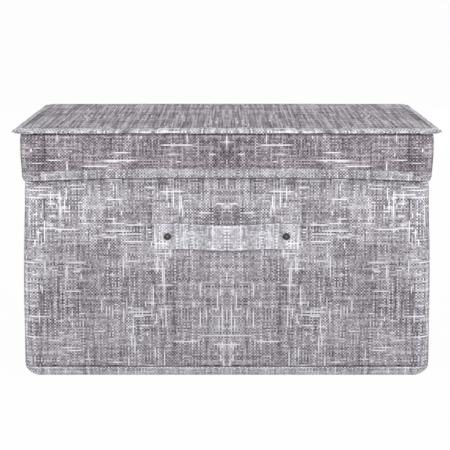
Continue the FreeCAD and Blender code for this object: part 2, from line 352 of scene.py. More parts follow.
def finish(piece, body, slot, nodes, material, flat=None, held="stretched", rests_on=()):
    piece.data.materials.append(material)
    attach(piece, body)
    if nodes:
        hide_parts(*nodes)
    print(piece.name, len(piece.data.polygons), "faces")
    return piece


# %% [markdown]
# A ring round the box is a set of columns. Each column has a share of the way to the axes, from -1
# to 1 in x and y, and an outward direction. A point is the share times the half sizes, plus the
# direction times a radius: straight where the share changes, round where the direction turns. The
# columns start at the middle of the front and go to the right.


# %% Columns round the box
def ring_columns(along_x, along_y, turn):
    """Shares and outward directions for columns round a rounded rectangle, each n by 2."""
    half_x = np.arange(along_x // 2) / (along_x // 2)
    side = np.arange(along_y) / along_y * 2 - 1
    back = 1 - np.arange(along_x) / along_x * 2
    angle = np.arange(turn) / turn * math.pi / 2
    shares = []
    outward = []

    def straight(share, direction):
        """Columns of a straight side: their shares, and one direction for all."""
        shares.append(share)
        outward.append(np.tile(direction, (len(share), 1)))

    def corner(sign, start):
        """Columns of a corner: one axis for all, and directions from the start on for a quarter."""
        shares.append(np.tile(sign, (turn, 1)))
        outward.append(np.stack([np.cos(start + angle), np.sin(start + angle)], 1))

    straight(np.stack([half_x, -np.ones_like(half_x)], 1), (0.0, -1.0))
    corner((1.0, -1.0), -math.pi / 2)
    straight(np.stack([np.ones_like(side), side], 1), (1.0, 0.0))
    corner((1.0, 1.0), 0.0)
    straight(np.stack([back, np.ones_like(back)], 1), (0.0, 1.0))
    corner((-1.0, 1.0), math.pi / 2)
    straight(np.stack([-np.ones_like(side), -side], 1), (-1.0, 0.0))
    corner((-1.0, -1.0), math.pi)
    straight(np.stack([half_x - 1, -np.ones_like(half_x)], 1), (0.0, -1.0))
    return np.concatenate(shares), np.concatenate(outward)


def ring_points(columns, straight, radius, height):
    """Points for each row and column: shares times half sizes, plus directions times radius.

    The half sizes are one pair, or one a row. Radius and height are one a row, or rows by columns.
    """
    shares, outward = columns
    straight = np.atleast_2d(straight)[:, None, :]
    radius = radius[:, None] if radius.ndim == 1 else radius
    height = height[:, None] if height.ndim == 1 else height
    flat = shares * straight + outward * radius[..., None]
    upright = np.broadcast_to(height, flat.shape[:2])
    return np.concatenate([flat, upright[..., None]], -1)


def way_round(columns, straight, radius):
    """Distance of each column from the middle of the front along the ring, the shorter way."""
    shares, outward = columns
    flat = shares * np.asarray(straight) + outward * radius
    steps = np.linalg.norm(np.roll(flat, -1, 0) - flat, axis=1)
    so_far = np.concatenate([[0.0], np.cumsum(steps)[:-1]])
    return np.minimum(so_far, steps.sum() - so_far)


def ring_size(around, down):
    """Flat size of a ring of cloth: the whole way round it, by the length of its profile."""
    return 2 * around.max(), down.max()


def along_profile(out, up):
    """Distance along a profile, point by point."""
    steps = np.hypot(np.diff(out), np.diff(up))
    return np.concatenate([[0.0], np.cumsum(steps)])


def profile(*runs):
    """Joins runs of points into one path. Each run is its outward and its upward places."""
    return np.concatenate([np.stack(np.broadcast_arrays(out, up), -1) for out, up in runs])


# %% [markdown]
# Cloth over card is never quite flat. A ripple is a sum of a few plane waves whose directions and
# phases come from a seeded generator, so it looks irregular and is the same on every run.


# %% Ripples
def ripple(across, along, size, seed, waves=7):
    """A smooth irregular field from about -1 to 1, with bumps about this far apart."""
    chance = np.random.default_rng(seed)
    total = np.zeros(np.broadcast(across, along).shape)
    for turn, phase, stretch in zip(
        chance.uniform(0, 2 * math.pi, waves),
        chance.uniform(0, 2 * math.pi, waves),
        chance.uniform(0.7, 1.5, waves),
    ):
        way = across * math.cos(turn) + along * math.sin(turn)
        total += np.sin(way * 2 * math.pi * stretch / size + phase)
    return total / math.sqrt(2 * waves)


def bump(value, width):
    """1 at zero, falling off like a bell to about a third at the width and 0 beyond."""
    return np.exp(-((value / width) ** 2))


def smooth_step(value, low, high):
    """Rises smoothly from 0 at low to 1 at high."""
    share = np.clip((value - low) / (high - low), 0, 1)
    return share * share * (3 - 2 * share)


# %% [markdown]
# ## The woven linen
#
# The cloth is a plain weave of uneven yarn. Every yarn has its own grey, which drifts along its
# length, so the cloth shows as fine lines across and down. Along some yarns there are pale
# stretches, thick white slubs and short bright knots, and they crowd together in places. The upright
# yarns are a little paler. The real threads lie about a millimetre apart and these one and a half,
# because the picture's noise filter smears a finer checker.
#
# The cloth map is divided into threads. The whole part of a coordinate says which thread it is, and
# noise along that thread decides its grey and where it is white. Where the two thread numbers add
# up to an even number the level thread lies on top, and elsewhere the upright one does. Brightness
# is added up as the eye sees it, and turned into light at the end.


# %% Thread coordinates
def thread_noise(tree, thread, place, run, shift):
    """Noise that runs along one thread and has nothing to do with the next one."""
    aside = calc(tree, "MULTIPLY_ADD", thread, 3.0, 0.5)
    ahead = calc(tree, "MULTIPLY_ADD", thread, 0.377, calc(tree, "DIVIDE", place, run))
    return cloud(tree, aside, ahead, shift)


def patch(tree, flat, run_x, run_y, shift):
    """Slow change over the cloth, about zero."""
    across = calc(tree, "DIVIDE", flat[0], run_x)
    along = calc(tree, "DIVIDE", flat[1], run_y)
    return calc(tree, "SUBTRACT", cloud(tree, across, along, shift), 0.5)


def arch(tree, place):
    """The rounded top of a thread: 0 at its edges and 1 along its middle."""
    return calc(tree, "SINE", calc(tree, "MULTIPLY", calc(tree, "FRACT", place), math.pi))


def pale_stretches(tree, cloth, way, thread, place, crowd):
    """How white a thread is, from 0 to 1: the largest of its pale stretches, slubs and knots."""
    whitest = 0.0
    for number, (run, level, strength) in enumerate(cloth["stretches"]):
        along = thread_noise(tree, thread, place, run, cloth["shift"] + 40 + 5 * way + 10 * number)
        along = calc(tree, "MULTIPLY_ADD", crowd, cloth["crowding"], along)
        level = level + cloth["rarer"][way]
        white = ramp(tree, along, level, level + cloth["soft_end"])
        whitest = calc(tree, "MAXIMUM", whitest, calc(tree, "MULTIPLY", white, strength))
    return whitest


# %% Weave
def woven_threads(tree, cloth):
    """Brightness, whiteness and height of the weave: 0 is the upright threads and 1 the level ones."""
    source = add_node(tree, "ShaderNodeUVMap", uv_map="cloth")
    split = add_node(tree, "ShaderNodeSeparateXYZ")
    feed(tree, split.inputs[0], source.outputs[0])
    shift = cloth["shift"]
    mirror_in_thread = (cloth["pitch"][0] / 2, 0.0)
    flat = [calc(tree, "MULTIPLY_ADD", split.outputs[k], 1 / mm, mirror_in_thread[k]) for k in (0, 1)]
    thread, top, bent = [], [], []
    for k in (0, 1):
        drift = patch(tree, flat, *cloth["wander_patch"], shift + 7.7 * k)
        bent.append(calc(tree, "MULTIPLY_ADD", drift, cloth["wander"], flat[k]))
        count = calc(tree, "DIVIDE", bent[k], cloth["pitch"][k])
        thread.append(calc(tree, "FLOOR", count))
        top.append(arch(tree, count))
    tones, whites, heights = [], [], []
    for k in (0, 1):
        place = bent[1 - k]
        drift = thread_noise(tree, thread[k], place, cloth["run"][k], shift + 20 + k)
        drift = calc(tree, "SUBTRACT", drift, 0.5)
        middle = 0.5 + (0.5 - k) * cloth["upright_paler"]
        tones.append(calc(tree, "MULTIPLY_ADD", drift, cloth["lines"][k], middle))
        crowd = patch(tree, flat, *cloth["crowd_patch"][k], shift + 30 + k)
        white = pale_stretches(tree, cloth, k, thread[k], place, crowd)
        whites.append(calc(tree, "MULTIPLY", white, ramp(tree, top[k], 0.1, 0.6)))
        squeeze = calc(tree, "MULTIPLY_ADD", top[1 - k], 0.4, 0.6)
        heights.append(calc(tree, "MULTIPLY", top[k], squeeze))
    upright_on_top = calc(tree, "FLOORED_MODULO", calc(tree, "ADD", *thread), 2.0)
    tone = blend_numbers(tree, upright_on_top, tones[1], tones[0])
    height = blend_numbers(tree, upright_on_top, heights[1], heights[0])
    chance = add_node(tree, "ShaderNodeTexWhiteNoise", noise_dimensions="3D")
    feed(tree, chance.inputs["Vector"], joined(tree, *thread, shift))
    grain = calc(tree, "SUBTRACT", chance.outputs["Value"], 0.5)
    tone = calc(tree, "MULTIPLY_ADD", grain, cloth["grain"], tone)
    clouds = patch(tree, flat, *cloth["cloudy_patch"], shift + 71)
    tone = calc(tree, "MULTIPLY_ADD", clouds, cloth["cloudy"], tone)
    return tone, calc(tree, "MAXIMUM", *whites), height


# %% Linen material
frost = (1.0, 0.985, 1.045)
whitest_yarn = 0.95
darkest, palest = 0.14, 0.96


def linen(name, brightness, dark_tint, **changes):
    """A woven material from its middle brightness and the tint of its dark yarns.

    Pitch, wander, runs and patches are in millimetres. A stretch is its run, the level of noise
    where it starts and its strength; pairs are for the upright and the level threads.
    """
    cloth = {
        "pitch": (1.55, 1.5),
        "shift": 0.0,
        "wander": 0.2,
        "run": (40.0, 40.0),
        "lines": (0.75, 0.75),
        "upright_paler": 0.16,
        "grain": 0.25,
        "cloudy": 0.15,
        "stretches": ((34.0, 0.65, 0.3), (32.0, 0.72, 1.0), (11.0, 0.765, 1.0)),
        "soft_end": 0.08,
        "rarer": (0.0, 0.0),
        "crowding": 0.2,
        "gaps": 0.2,
        "wander_patch": (80.0, 80.0),
        "crowd_patch": ((26.0, 110.0), (110.0, 26.0)),
        "cloudy_patch": (55.0, 55.0),
    }
    cloth.update(changes)
    made, tree, shader = empty_material(name)
    tone, white, height = woven_threads(tree, cloth)
    tone = calc(tree, "ADD", tone, brightness - 0.5)
    between = calc(tree, "MULTIPLY_ADD", height, cloth["gaps"], 1 - cloth["gaps"])
    tone = blend_numbers(tree, white, calc(tree, "MULTIPLY", tone, between), whitest_yarn)
    shade = add_node(tree, "ShaderNodeAttribute", attribute_name="shade")
    kept = calc(tree, "MULTIPLY_ADD", shade.outputs["Fac"], -1.0, 1.0)
    tone = calc(tree, "MULTIPLY", tone, kept)
    tone = calc(tree, "MINIMUM", calc(tree, "MAXIMUM", tone, darkest), palest)
    light = calc(tree, "POWER", tone, 2.2)
    grey = add_node(tree, "ShaderNodeCombineColor")
    for socket in grey.inputs:
        feed(tree, socket, light)
    tint = blend_colours(tree, ramp(tree, tone, 0.4, 0.9), dark_tint, frost)
    colour = blend_colours(tree, 1.0, grey.outputs[0], tint, "MULTIPLY")
    feed(tree, shader.inputs["Base Color"], colour)
    feed(tree, shader.inputs["Roughness"], 0.9)
    feed(tree, shader.inputs["Specular IOR Level"], 0.2)
    add_relief(tree, shader, calc(tree, "MULTIPLY_ADD", white, 0.5, height), 0.2 * mm)
    return made


plum = (1.08, 0.98, 1.08)
slate = (1.02, 0.98, 1.09)
rosy = (1.12, 0.96, 1.08)
long_slubs = ((34.0, 0.65, 0.3), (50.0, 0.715, 1.0), (12.0, 0.785, 0.9))
smooth_strap = {"pitch": (1.7, 1.5), "upright_paler": 0.08, "run": (90.0, 16.0), "lines": (0.9, 0.35)}
few_slubs = {"rarer": (0.045, 0.005), "lines": (0.6, 0.65), "stretches": long_slubs}
wall_linen = linen("wall_linen", 0.65, plum, shift=3.0)
lid_linen = linen("lid_linen", 0.605, rosy, shift=41.0, run=(110.0, 40.0), lines=(1.5, 0.8))
skirt_linen = linen("skirt_linen", 0.54, rosy, shift=76.0, **few_slubs)
band_linen = linen("band_linen", 0.67, slate, shift=97.0, lines=(0.6, 0.6), rarer=(0.04, 0.03))
lip_linen = linen("lip_linen", 0.75, slate, shift=111.0, run=(60.0, 8.0), lines=(1.5, 0.7))
pale_linen = linen("pale_linen", 0.785, slate, shift=138.0, **smooth_strap)
print("woven materials", len([m for m in bpy.data.materials if "linen" in m.name]))

# %% [markdown]
# The linings are a pressed felt with no weave, the card is grey and slightly speckled, and the
# rivets are dark bronzed metal with a painted highlight on the button in the middle. Each gets its
# variation from noise on the piece's own coordinates. The imported boards keep their shape and only get
# the card's look.


# %% Felt, card and metal
def speckled(name, dark, pale, grain, roughness, bump_depth, metallic=0.0, highlight_colour=None):
    """A material of fine noise on Object coordinates, with a painted highlight colour where the shade
    attribute is painted.
    """
    made, tree, shader = empty_material(name)
    source = add_node(tree, "ShaderNodeTexCoord")
    fine = add_node(tree, "ShaderNodeTexNoise")
    slow = add_node(tree, "ShaderNodeTexNoise")
    for noise, scale in ((fine, 1 / grain), (slow, 0.03 / grain)):
        feed(tree, noise.inputs["Vector"], source.outputs["Object"])
        feed(tree, noise.inputs["Scale"], scale)
    feed(tree, fine.inputs["Detail"], 4.0)
    feed(tree, fine.inputs["Roughness"], 0.65)
    drift = calc(tree, "SUBTRACT", slow.outputs[0], 0.5)
    both = calc(tree, "MULTIPLY_ADD", drift, 0.5, fine.outputs[0])
    colour = blend_colours(tree, ramp(tree, both, 0.25, 0.75), dark, pale)
    if highlight_colour:
        shade = add_node(tree, "ShaderNodeAttribute", attribute_name="shade")
        colour = blend_colours(tree, shade.outputs["Fac"], colour, highlight_colour)
    feed(tree, shader.inputs["Base Color"], colour)
    feed(tree, shader.inputs["Roughness"], roughness)
    feed(tree, shader.inputs["Metallic"], metallic)
    add_relief(tree, shader, fine.outputs[0], bump_depth)
    return made


felt = speckled("felt_lining", (0.3, 0.29, 0.31), (0.5, 0.48, 0.51), 1.2 * mm, 0.95, 0.2 * mm)
card = speckled("grey_card", (0.22, 0.21, 0.2), (0.36, 0.345, 0.33), 1.5 * mm, 0.9, 0.05 * mm)
bronze_colours = ((0.022, 0.019, 0.019), (0.08, 0.069, 0.068))
bronze = speckled("dark_bronze", *bronze_colours, 1.5 * mm, 0.4, 0.02 * mm, 0.7, (0.5, 0.47, 0.46))
thread = speckled("sewing_thread", (0.42, 0.41, 0.44), (0.66, 0.64, 0.68), 0.4 * mm, 0.85, 0.05 * mm)

boards = [packed for node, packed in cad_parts.items() if node.endswith("_board")]
for packed in boards:
    packed.data.materials.clear()
    packed.data.materials.append(card)
print("packed boards in card", len(boards))

# %% [markdown]
# ## Walls
#
# On the real box each wall is linen glued over a card. The wall swells outwards towards its foot, by
# up to two and a half millimetres, except where the strap's riveted ends hold it. The linen is drawn
# in at the bottom, where it is sewn to the edge band, and a shallow seam runs down each rounded
# corner. One ring of columns covers all four walls and is cut into four panels in the middle of the
# corners.

# %% Columns of each wall
SIDES = ("front", "right", "back", "left")
linen_thick = 0.5 * mm
wall_grid = (156, 116, 16)
wall_columns = ring_columns(*wall_grid)
wall_around = way_round(wall_columns, axes, corner_radius)
near_seam = band_top + 0.15 * mm + np.array([0, 0.35, 0.7, 1.1, 1.6, 2.2, 3.0, 4.0]) * mm
wall_level = np.concatenate([near_seam, np.linspace(band_top + 5.5 * mm, wall_top, 100)])[:, None]


def panel_columns(along_x, along_y, turn):
    """Which columns belong to each side: its straight run and half of the corner at each end."""
    count = 2 * (along_x + along_y) + 4 * turn
    first = -(along_x // 2) - turn // 2
    chosen = {}
    for side, run in zip(SIDES, (along_x, along_y, along_x, along_y)):
        chosen[side] = np.arange(first, first + run + turn + 1) % count
        first += run + turn
    return chosen


def part_of(columns, chosen):
    """The shares and directions of the chosen columns."""
    return columns[0][chosen], columns[1][chosen]


def from_seam(local, radius):
    """Distance of a panel's columns from its nearer end, and the panel's width."""
    shares, outward = local
    flat = shares * axes + outward * radius
    so_far = along_profile(flat[:, 0], flat[:, 1])
    return np.minimum(so_far, so_far[-1] - so_far), so_far[-1]


# %% Swell of the walls
def wall_swell(height):
    """The walls swell from under the lid down to the bottom: smooth step plus a bell at mid height."""
    full = 2.5 * mm * smooth_step(-height, -190 * mm, -80 * mm)
    return full + 0.4 * mm * bump(height - 135 * mm, 30 * mm)


def beside_seam(distance):
    """1 in the groove of the bottom seam, falling to 0 within about two millimetres of it."""
    return np.exp(-((distance / (0.8 * mm)) ** 1.5))


def held_by_strap(side, across, height):
    """1 where the front wall is pressed by the strap's riveted ends, falling to 0 round them."""
    if side != "front":
        return 0.0
    beside = np.maximum(np.abs(np.abs(across) - strap_end_middle) - 10 * mm, 0)
    above = np.maximum(np.abs(height - strap_middle) - 12 * mm, 0)
    return 1 - smooth_step(np.hypot(beside, above), 0.0, 45 * mm)


def wall_stand_out(side, height, across, around, seam_distance, seed):
    """How far the linen stands out from the card's nominal face, for each row and column."""
    held = held_by_strap(side, across, height)
    under_lid = smooth_step(height, skirt_foot - 12 * mm, skirt_foot - 2 * mm)
    swell = wall_swell(height) * (1 - 0.85 * held)
    seam_dip = (0.5 * mm + wall_swell(band_top)) * beside_seam(height - band_top)
    corner = -0.3 * mm * bump(seam_distance, 1.1 * mm) * smooth_step(height, band_top, 20 * mm)
    small = 0.16 * mm * ripple(around, height, 55 * mm, seed)
    small = small + 0.06 * mm * ripple(around, height, 18 * mm, seed + 1)
    quiet = np.minimum(1, seam_distance / (12 * mm)) * (1 - under_lid)
    quiet = quiet * (1 - 0.8 * held) * smooth_step(height, band_top, 30 * mm)
    return swell - 0.22 * seam_dip + small * quiet + corner - 0.3 * mm * under_lid


# %% The four walls
wall_split = panel_columns(*wall_grid)
for number, side in enumerate(SIDES):
    local = part_of(wall_columns, wall_split[side])
    around = wall_around[wall_split[side]]
    across = local[0][:, 0] * axes[0]
    seam_distance, panel_width = from_seam(local, corner_radius)
    stand_out = wall_stand_out(side, wall_level, across, around, seam_distance, number)
    points = ring_points(local, axes, corner_radius + stand_out, wall_level)
    panel = grid_mesh(f"{side}_wall_linen", points, cloth_map(around, wall_level))
    # Painted into the shade attribute: a blotchy dark line at the bottom seam, partly the seam's own
    # darker colour and partly painted shade of its groove; darker towards the bottom; a painted shadow
    # under the lid's hem; and a painted highlight near the corners.
    blotch = 0.45 + 1.1 * ripple(around, 0.0, 11 * mm, 40 + number)
    seam_line = 0.55 * np.clip(blotch, 0.0, 1) * bump(wall_level - band_top - 0.5 * mm, 0.75 * mm)
    low_down = 0.09 * (1 - smooth_step(wall_level, 95 * mm, 175 * mm))
    painted_shadow_under_hem = 0.1 * bump(wall_level - skirt_foot - 1.5 * mm, 9 * mm)
    paint_shade(panel, seam_line + low_down + painted_shadow_under_hem - 0.17 * bump(seam_distance, 8 * mm))
    size = (panel_width, wall_top - band_top)
    place = ("box", "slub_linen", [f"{side}_cover"], wall_linen)
    finish(thicken(panel, linen_thick), *place, flat=size, rests_on=[f"{side}_board"])

# %% [markdown]
# ## Bottom band and base
#
# A paler band is sewn to the foot of the walls and curves under the box. Its upper edge starts in
# the seam's groove and swells out at once. This shape, with painted shade and a painted highlight,
# gives the dark line and the bright line below it. Lower down the band is painted paler, as if lit
# from the floor. The band's round is flatter than a quarter circle, so its sine and cosine are raised to a
# power.

# %% Bottom band
base_radius = high_of("bottom_cover")[0] - axes[0]
round_radius = corner_radius - base_radius
band_swell = wall_swell(band_top)
blunt = 2 / 1.62
angle = np.linspace(0, math.pi / 2, 30)
band_out = base_radius + (round_radius + band_swell) * np.sin(angle) ** blunt
band_rise = (band_top - 0.1 * mm) * (1 - np.cos(angle) ** blunt)
band_down = along_profile(band_out, band_rise)
from_top = (band_down[-1] - band_down)[:, None]
tuck = -(0.3 * mm + 0.4 * band_swell) * beside_seam(from_top)
wave = 0.2 * mm * ripple(wall_around, band_down[:, None], 30 * mm, 21) * bump(from_top - 6 * mm, 5 * mm)
band_points = ring_points(wall_columns, axes, band_out[:, None] + tuck + wave, band_rise)
band_cloth = cloth_map(wall_around, band_down[:, None])
bottom_band = grid_mesh("bottom_band_linen", band_points, band_cloth, wrap_columns=True)
# Painted shade in the seam's groove and a painted highlight just below it. Further down, painted light as
# if bounced up from the floor.
seam_shade_and_highlight = 0.16 * bump(from_top, 0.7 * mm) - 0.12 * bump(from_top - 1.8 * mm, 0.9 * mm)
painted_floor_bounce = 0.19 * smooth_step(from_top, 2.2 * mm, 8 * mm)
paint_shade(bottom_band, np.broadcast_to(seam_shade_and_highlight - painted_floor_bounce, wave.shape))
size = ring_size(wall_around, band_down)
place = ("box", "band_linen", ["bottom_edge_band"], band_linen)
finish(thicken(bottom_band, linen_thick), *place, flat=size, rests_on=["front_board"])


# %% Closing a plate's middle
def close_middle(piece, outline, facing_down=False):
    """Fills the hole inside a ring of points with one flat face, and gives it its cloth map."""
    order = tuple(range(len(outline)))
    extra = bpy.data.meshes.new("middle")
    extra.from_pydata(outline.tolist(), [], [order[::-1] if facing_down else order])
    work = bmesh.new()
    work.from_mesh(piece.data)
    work.from_mesh(extra)
    bmesh.ops.remove_doubles(work, verts=work.verts, dist=0.01 * mm)
    layer = work.loops.layers.uv["cloth"]
    for face in work.faces:
        if len(face.verts) > 4:
            for loop in face.loops:
                loop[layer].uv = (abs(loop.vert.co.x), loop.vert.co.y)
    work.to_mesh(piece.data)
    work.free()
    bpy.data.meshes.remove(extra)


plate_columns = ring_columns(60, 44, 6)
plate_share = np.linspace(0.04, 1.0, 40)[:, None, None]


# %% Base panel
def flat_plate(name, half_out, heights, thickness):
    """A plate of cloth that faces down: outlines shrunk towards the centre, and its flat middle."""
    flat = plate_share * (plate_columns[0] * axes + plate_columns[1] * half_out)
    level = heights(flat[..., 0], flat[..., 1])
    points = np.concatenate([flat, level[..., None]], -1)
    made = grid_mesh(name, points, cloth_map(np.abs(flat[..., 0]), flat[..., 1]), wrap_columns=True)
    close_middle(made, points[0], facing_down=True)
    return thicken(made, thickness)


def base_level(x, y):
    """The base sags onto the floor in the middle and lifts a little at its sewn edge."""
    edge = np.maximum(np.abs(x) / (axes[0] + base_radius), np.abs(y) / (axes[1] + base_radius))
    return 0.35 * mm * smooth_step(edge, 0.9, 1.0) + 0.04 * mm * (1 + 0.5 * ripple(x, y, 50 * mm, 5))


base_thick = 0.6 * mm
base_panel = flat_plate("base_linen", base_radius, base_level, base_thick)
base_flat = tuple(2 * (axes + base_radius))
finish(base_panel, "box", "slub_linen", ["bottom_cover"], wall_linen, flat=base_flat, held="laid")

# %% [markdown]
# ## Strap handle
#
# The strap is a woven strip folded to a flat double layer. It lies on the wall at both rivets and
# bows away between them. Its section is a flat loop with fuller edges, carried along the bowed
# path. It is pressed down round the rivets, a folded edge and a row of stitching stand up at each
# end, and its free middle hangs a little lower.

# %% Strap path and section
strap_half = (strap_high[0] - strap_low[0]) / 2
strap_width = strap_high[2] - strap_low[2]
strap_thickness = 1.6 * mm
strap_bow = (strap_high[1] - strap_low[1]) - strap_thickness - 1.5 * mm
strap_free = strap_half - strap_flat_end
rivet_radius = 3.55 * mm
rivet_from_centre = high_of("handle_rivets")[0] - rivet_radius
wall_face = -body_half[1]
strap_grid = (181, 56)


def strap_bow_at(x):
    """How far the strap's back stands off the wall: flat ends joined by one smooth bow."""
    share = np.clip(np.abs(x) / strap_free, 0, 1)
    return strap_bow * (1 + np.cos(math.pi * share)) / 2


def squared(angle, power):
    """Cosine and sine of an angle pushed towards a square."""
    across, up = np.cos(angle), np.sin(angle)
    return np.sign(across) * np.abs(across) ** power, np.sign(up) * np.abs(up) ** power


along = np.linspace(-1, 1, strap_grid[0])
along = np.sign(along) * np.abs(along) ** 0.96 * strap_half
slope = np.gradient(strap_bow_at(along), along)[:, None]
along = along[:, None]
from_end = strap_half - np.abs(along)
section_up, section_out = squared(np.arange(strap_grid[1]) / strap_grid[1] * 2 * math.pi, 0.35)
end_share = np.clip(from_end / (0.8 * mm), 0, 1)
end_round = np.sqrt(np.clip(1 - (1 - end_share) ** 2, 0.0004, 1))
print("strap", round(2 * strap_half / mm, 1), "mm long, bows out by", round(strap_bow / mm, 1), "mm")

# %% Strap
pulled_up = bump(along - 44 * mm, 14 * mm) + bump(along + 44 * mm, 14 * mm)
sag = -0.7 * mm * bump(along, 30 * mm) + 0.55 * mm * pulled_up
droop_low = -0.5 * mm * bump(along, 34 * mm)
half_width = strap_width / 2 * (1 - 0.003 * np.cos(along / (6 * mm)))
rise = section_up * half_width * (0.985 + 0.015 * end_round)
upper = smooth_step(section_up, -1, 1)
rise = rise + sag * upper + droop_low * (1 - upper)
rivet_distance = np.hypot(np.abs(along) - rivet_from_centre, rise)
ripples = 0.12 * mm * ripple(along, rise, 12 * mm, 61)
ripples = ripples + 0.1 * mm * ripple(along, rise * 0.3, 9 * mm, 62)
pressed = -0.45 * mm * bump(rivet_distance, 5.2 * mm)
fold_line = 0.28 * mm * bump(from_end - 1.2 * mm, 0.9 * mm)
fold_line = fold_line + 0.22 * mm * bump(from_end - 9.0 * mm, 0.8 * mm)
half_thick = strap_thickness / 2 * end_round * (1 + 0.22 * np.abs(section_up) ** 6)
front_only = smooth_step(section_out, -0.2, 0.6)
depth = section_out * half_thick + (ripples + pressed + fold_line) * front_only * end_round
off_wall = strap_bow_at(along) + strap_thickness / 2 + depth
points = np.stack([along - slope * depth, wall_face - off_wall, strap_middle + rise], -1)
strap = grid_mesh("strap_linen", points, cloth_map(np.abs(along), rise), wrap_columns=True)

# %% Strap shading
# Painted shade and light: the back and the thin upper and lower edges painted darker as shadow, and
# painted highlights on the fuller edges and along the folded ends.
in_front = section_out > 0
painted_fold_highlight = bump(from_end - 1.0 * mm, 1.0 * mm) + 0.8 * bump(from_end - 8.6 * mm, 0.8 * mm)
blotch = np.clip(0.6 + 0.7 * ripple(along, 0.0, 10 * mm, 63), 0.15, 1)
outline = smooth_step(-section_out, 0.0, 0.8)
outline = outline + 0.9 * blotch * smooth_step(np.abs(section_up), 0.97, 1.0)
painted_edge_highlight = 0.14 * bump(np.abs(section_up) - 0.93, 0.045) * in_front
# A darker ring is painted round each rivet.
darker_ring_round_rivet = 0.3 * bump(rivet_distance - 3.7 * mm, 1.1 * mm)
paint_shade(strap, 0.6 * np.clip(outline, 0, 1) - painted_edge_highlight - 0.22 * painted_fold_highlight * in_front + darker_ring_round_rivet)


def close_ends(piece, rows, columns):
    """Closes a tube of rows of points with one flat face at each end."""
    work = bmesh.new()
    work.from_mesh(piece.data)
    work.verts.ensure_lookup_table()
    for first in (0, (rows - 1) * columns):
        work.faces.new([work.verts[i] for i in range(first, first + columns)])
    bmesh.ops.recalc_face_normals(work, faces=work.faces)
    work.to_mesh(piece.data)
    work.free()


close_ends(strap, *strap_grid)
size = (strap_width, 2 * strap_half)
place = ("box", "pale_linen", ["handle_strap"], pale_linen)
finish(strap, *place, flat=size, held="folded", rests_on=["front_wall_linen"])

# %% [markdown]
# ## Rivets
#
# A rivet head is a turned piece: a profile of radius and height, spun round its axis. The rim is
# rolled under, the dome is low, and a small round button stands in a shallow dish in the middle. A
# flat cap closes each post on the inside.

# %% Rivets and caps
spin_steps = 48
rivet_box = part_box("handle_rivets")
post_end = (wall_face - rivet_box[1].y) / mm
head_scale = (rivet_box[1].z - rivet_box[0].z) / 2 / rivet_radius
cap_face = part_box("rivet_caps")[0].y - wall_face
head_profile = [
    (0.15, post_end), (1.2, post_end), (1.3, post_end + 0.1), (1.3, 1.2), (3.0, 1.2), (3.4, 1.32),
    (3.55, 1.6), (3.52, 1.85), (3.38, 2.08), (3.1, 2.3), (2.6, 2.52), (2.1, 2.64), (1.65, 2.66),
    (1.4, 2.58), (1.22, 2.5), (1.05, 2.55), (0.85, 2.76), (0.55, 2.88), (0.15, 2.92),
]
cap_profile = [
    (0.15, 1.4), (1.6, 1.36), (2.6, 1.2), (3.2, 0.95), (3.5, 0.55), (3.55, 0.2), (3.4, 0.0), (0.15, 0.0),
]


def turned(name, sign, radius, forward):
    """Spins a closed profile round the axis of the left or right rivet."""
    spin = np.arange(spin_steps) / spin_steps * 2 * math.pi
    across = sign * rivet_from_centre + radius[:, None] * np.cos(spin)
    upward = strap_middle + radius[:, None] * np.sin(spin)
    points = np.stack(np.broadcast_arrays(across, wall_face - forward[:, None], upward), -1)
    made = grid_mesh(name, points, cloth_map(across, upward), wrap_columns=True)
    close_ends(made, len(radius), spin_steps)
    return made


radius, forward = np.array(head_profile).T * mm
# The button in the middle gets a painted highlight: there the shade attribute blends the bronze to a pale
# colour.
button = 0.6 * bump(radius, 0.6 * mm) * (forward > 2 * mm)
for number, sign in ((1, -1), (2, 1)):
    head = turned(f"rivet_{number}", sign, radius * head_scale, forward)
    paint_shade(head, np.repeat(button, spin_steps))
    finish(head, "box", "dark_rivet_metal", ["handle_rivets"], bronze)
radius, inward = np.array(cap_profile).T * mm
for number, sign in ((1, -1), (2, 1)):
    cap = turned(f"rivet_cap_{number}", sign, radius, -(inward + cap_face))
    finish(cap, "box", "dark_rivet_metal", ["rivet_caps"], bronze)

# %% [markdown]
# ## Lid
#
# The lid's top is linen over card. It crowns a little towards the middle, dips along the seam of
# the lip, and slopes down inside the lip. Its front corners sag, and nowhere does it sink into the
# board. Beyond the seam the height falls with the larger of the two distances from it, which mitres
# the slope at the corners.

# %% Lid shape
lip_slope = 0.26
tucked_in = 8.6 * mm
seam_half = high_of("lid_board")[:2] + 0.3 * mm
lip_reach = lip_half[0] - seam_half[0]
lid_linen_top = high_of("lid_top_cover")[2]
board_clearance = high_of("lid_board")[2] + 0.06 * mm - lid_linen_top


def lid_crown(x, y):
    """Height of the lid's cloth above its nominal top, kept above the board."""
    bow = np.cos(np.clip(x / seam_half[0], -1, 1) * math.pi / 2) ** 0.8
    deep = np.cos(np.clip(y / seam_half[1], -1, 1) * math.pi / 2) ** 0.5
    from_side, from_end = seam_half[0] - np.abs(x), seam_half[1] - np.abs(y)
    inward = np.minimum(from_side, from_end)
    behind = smooth_step(y, 0.0, seam_half[1])
    near_back = smooth_step(y, 0.4 * seam_half[1], seam_half[1])
    dip = -0.5 * mm * bump(inward - 0.4 * mm, 1.6 * mm) * (1 - 0.5 * near_back)
    small = 0.13 * mm * ripple(x, y, 60 * mm, 31) * np.clip(inward / (20 * mm), 0, 1)
    corner = -1.1 * mm * bump(np.hypot(from_side, from_end), 13 * mm) * (1 - 0.8 * behind)
    crown = 0.9 * mm * bow * (0.35 * (1 - behind) + 0.65 * deep)
    return np.maximum(crown + dip + small + corner - 0.3 * mm * near_back, board_clearance)


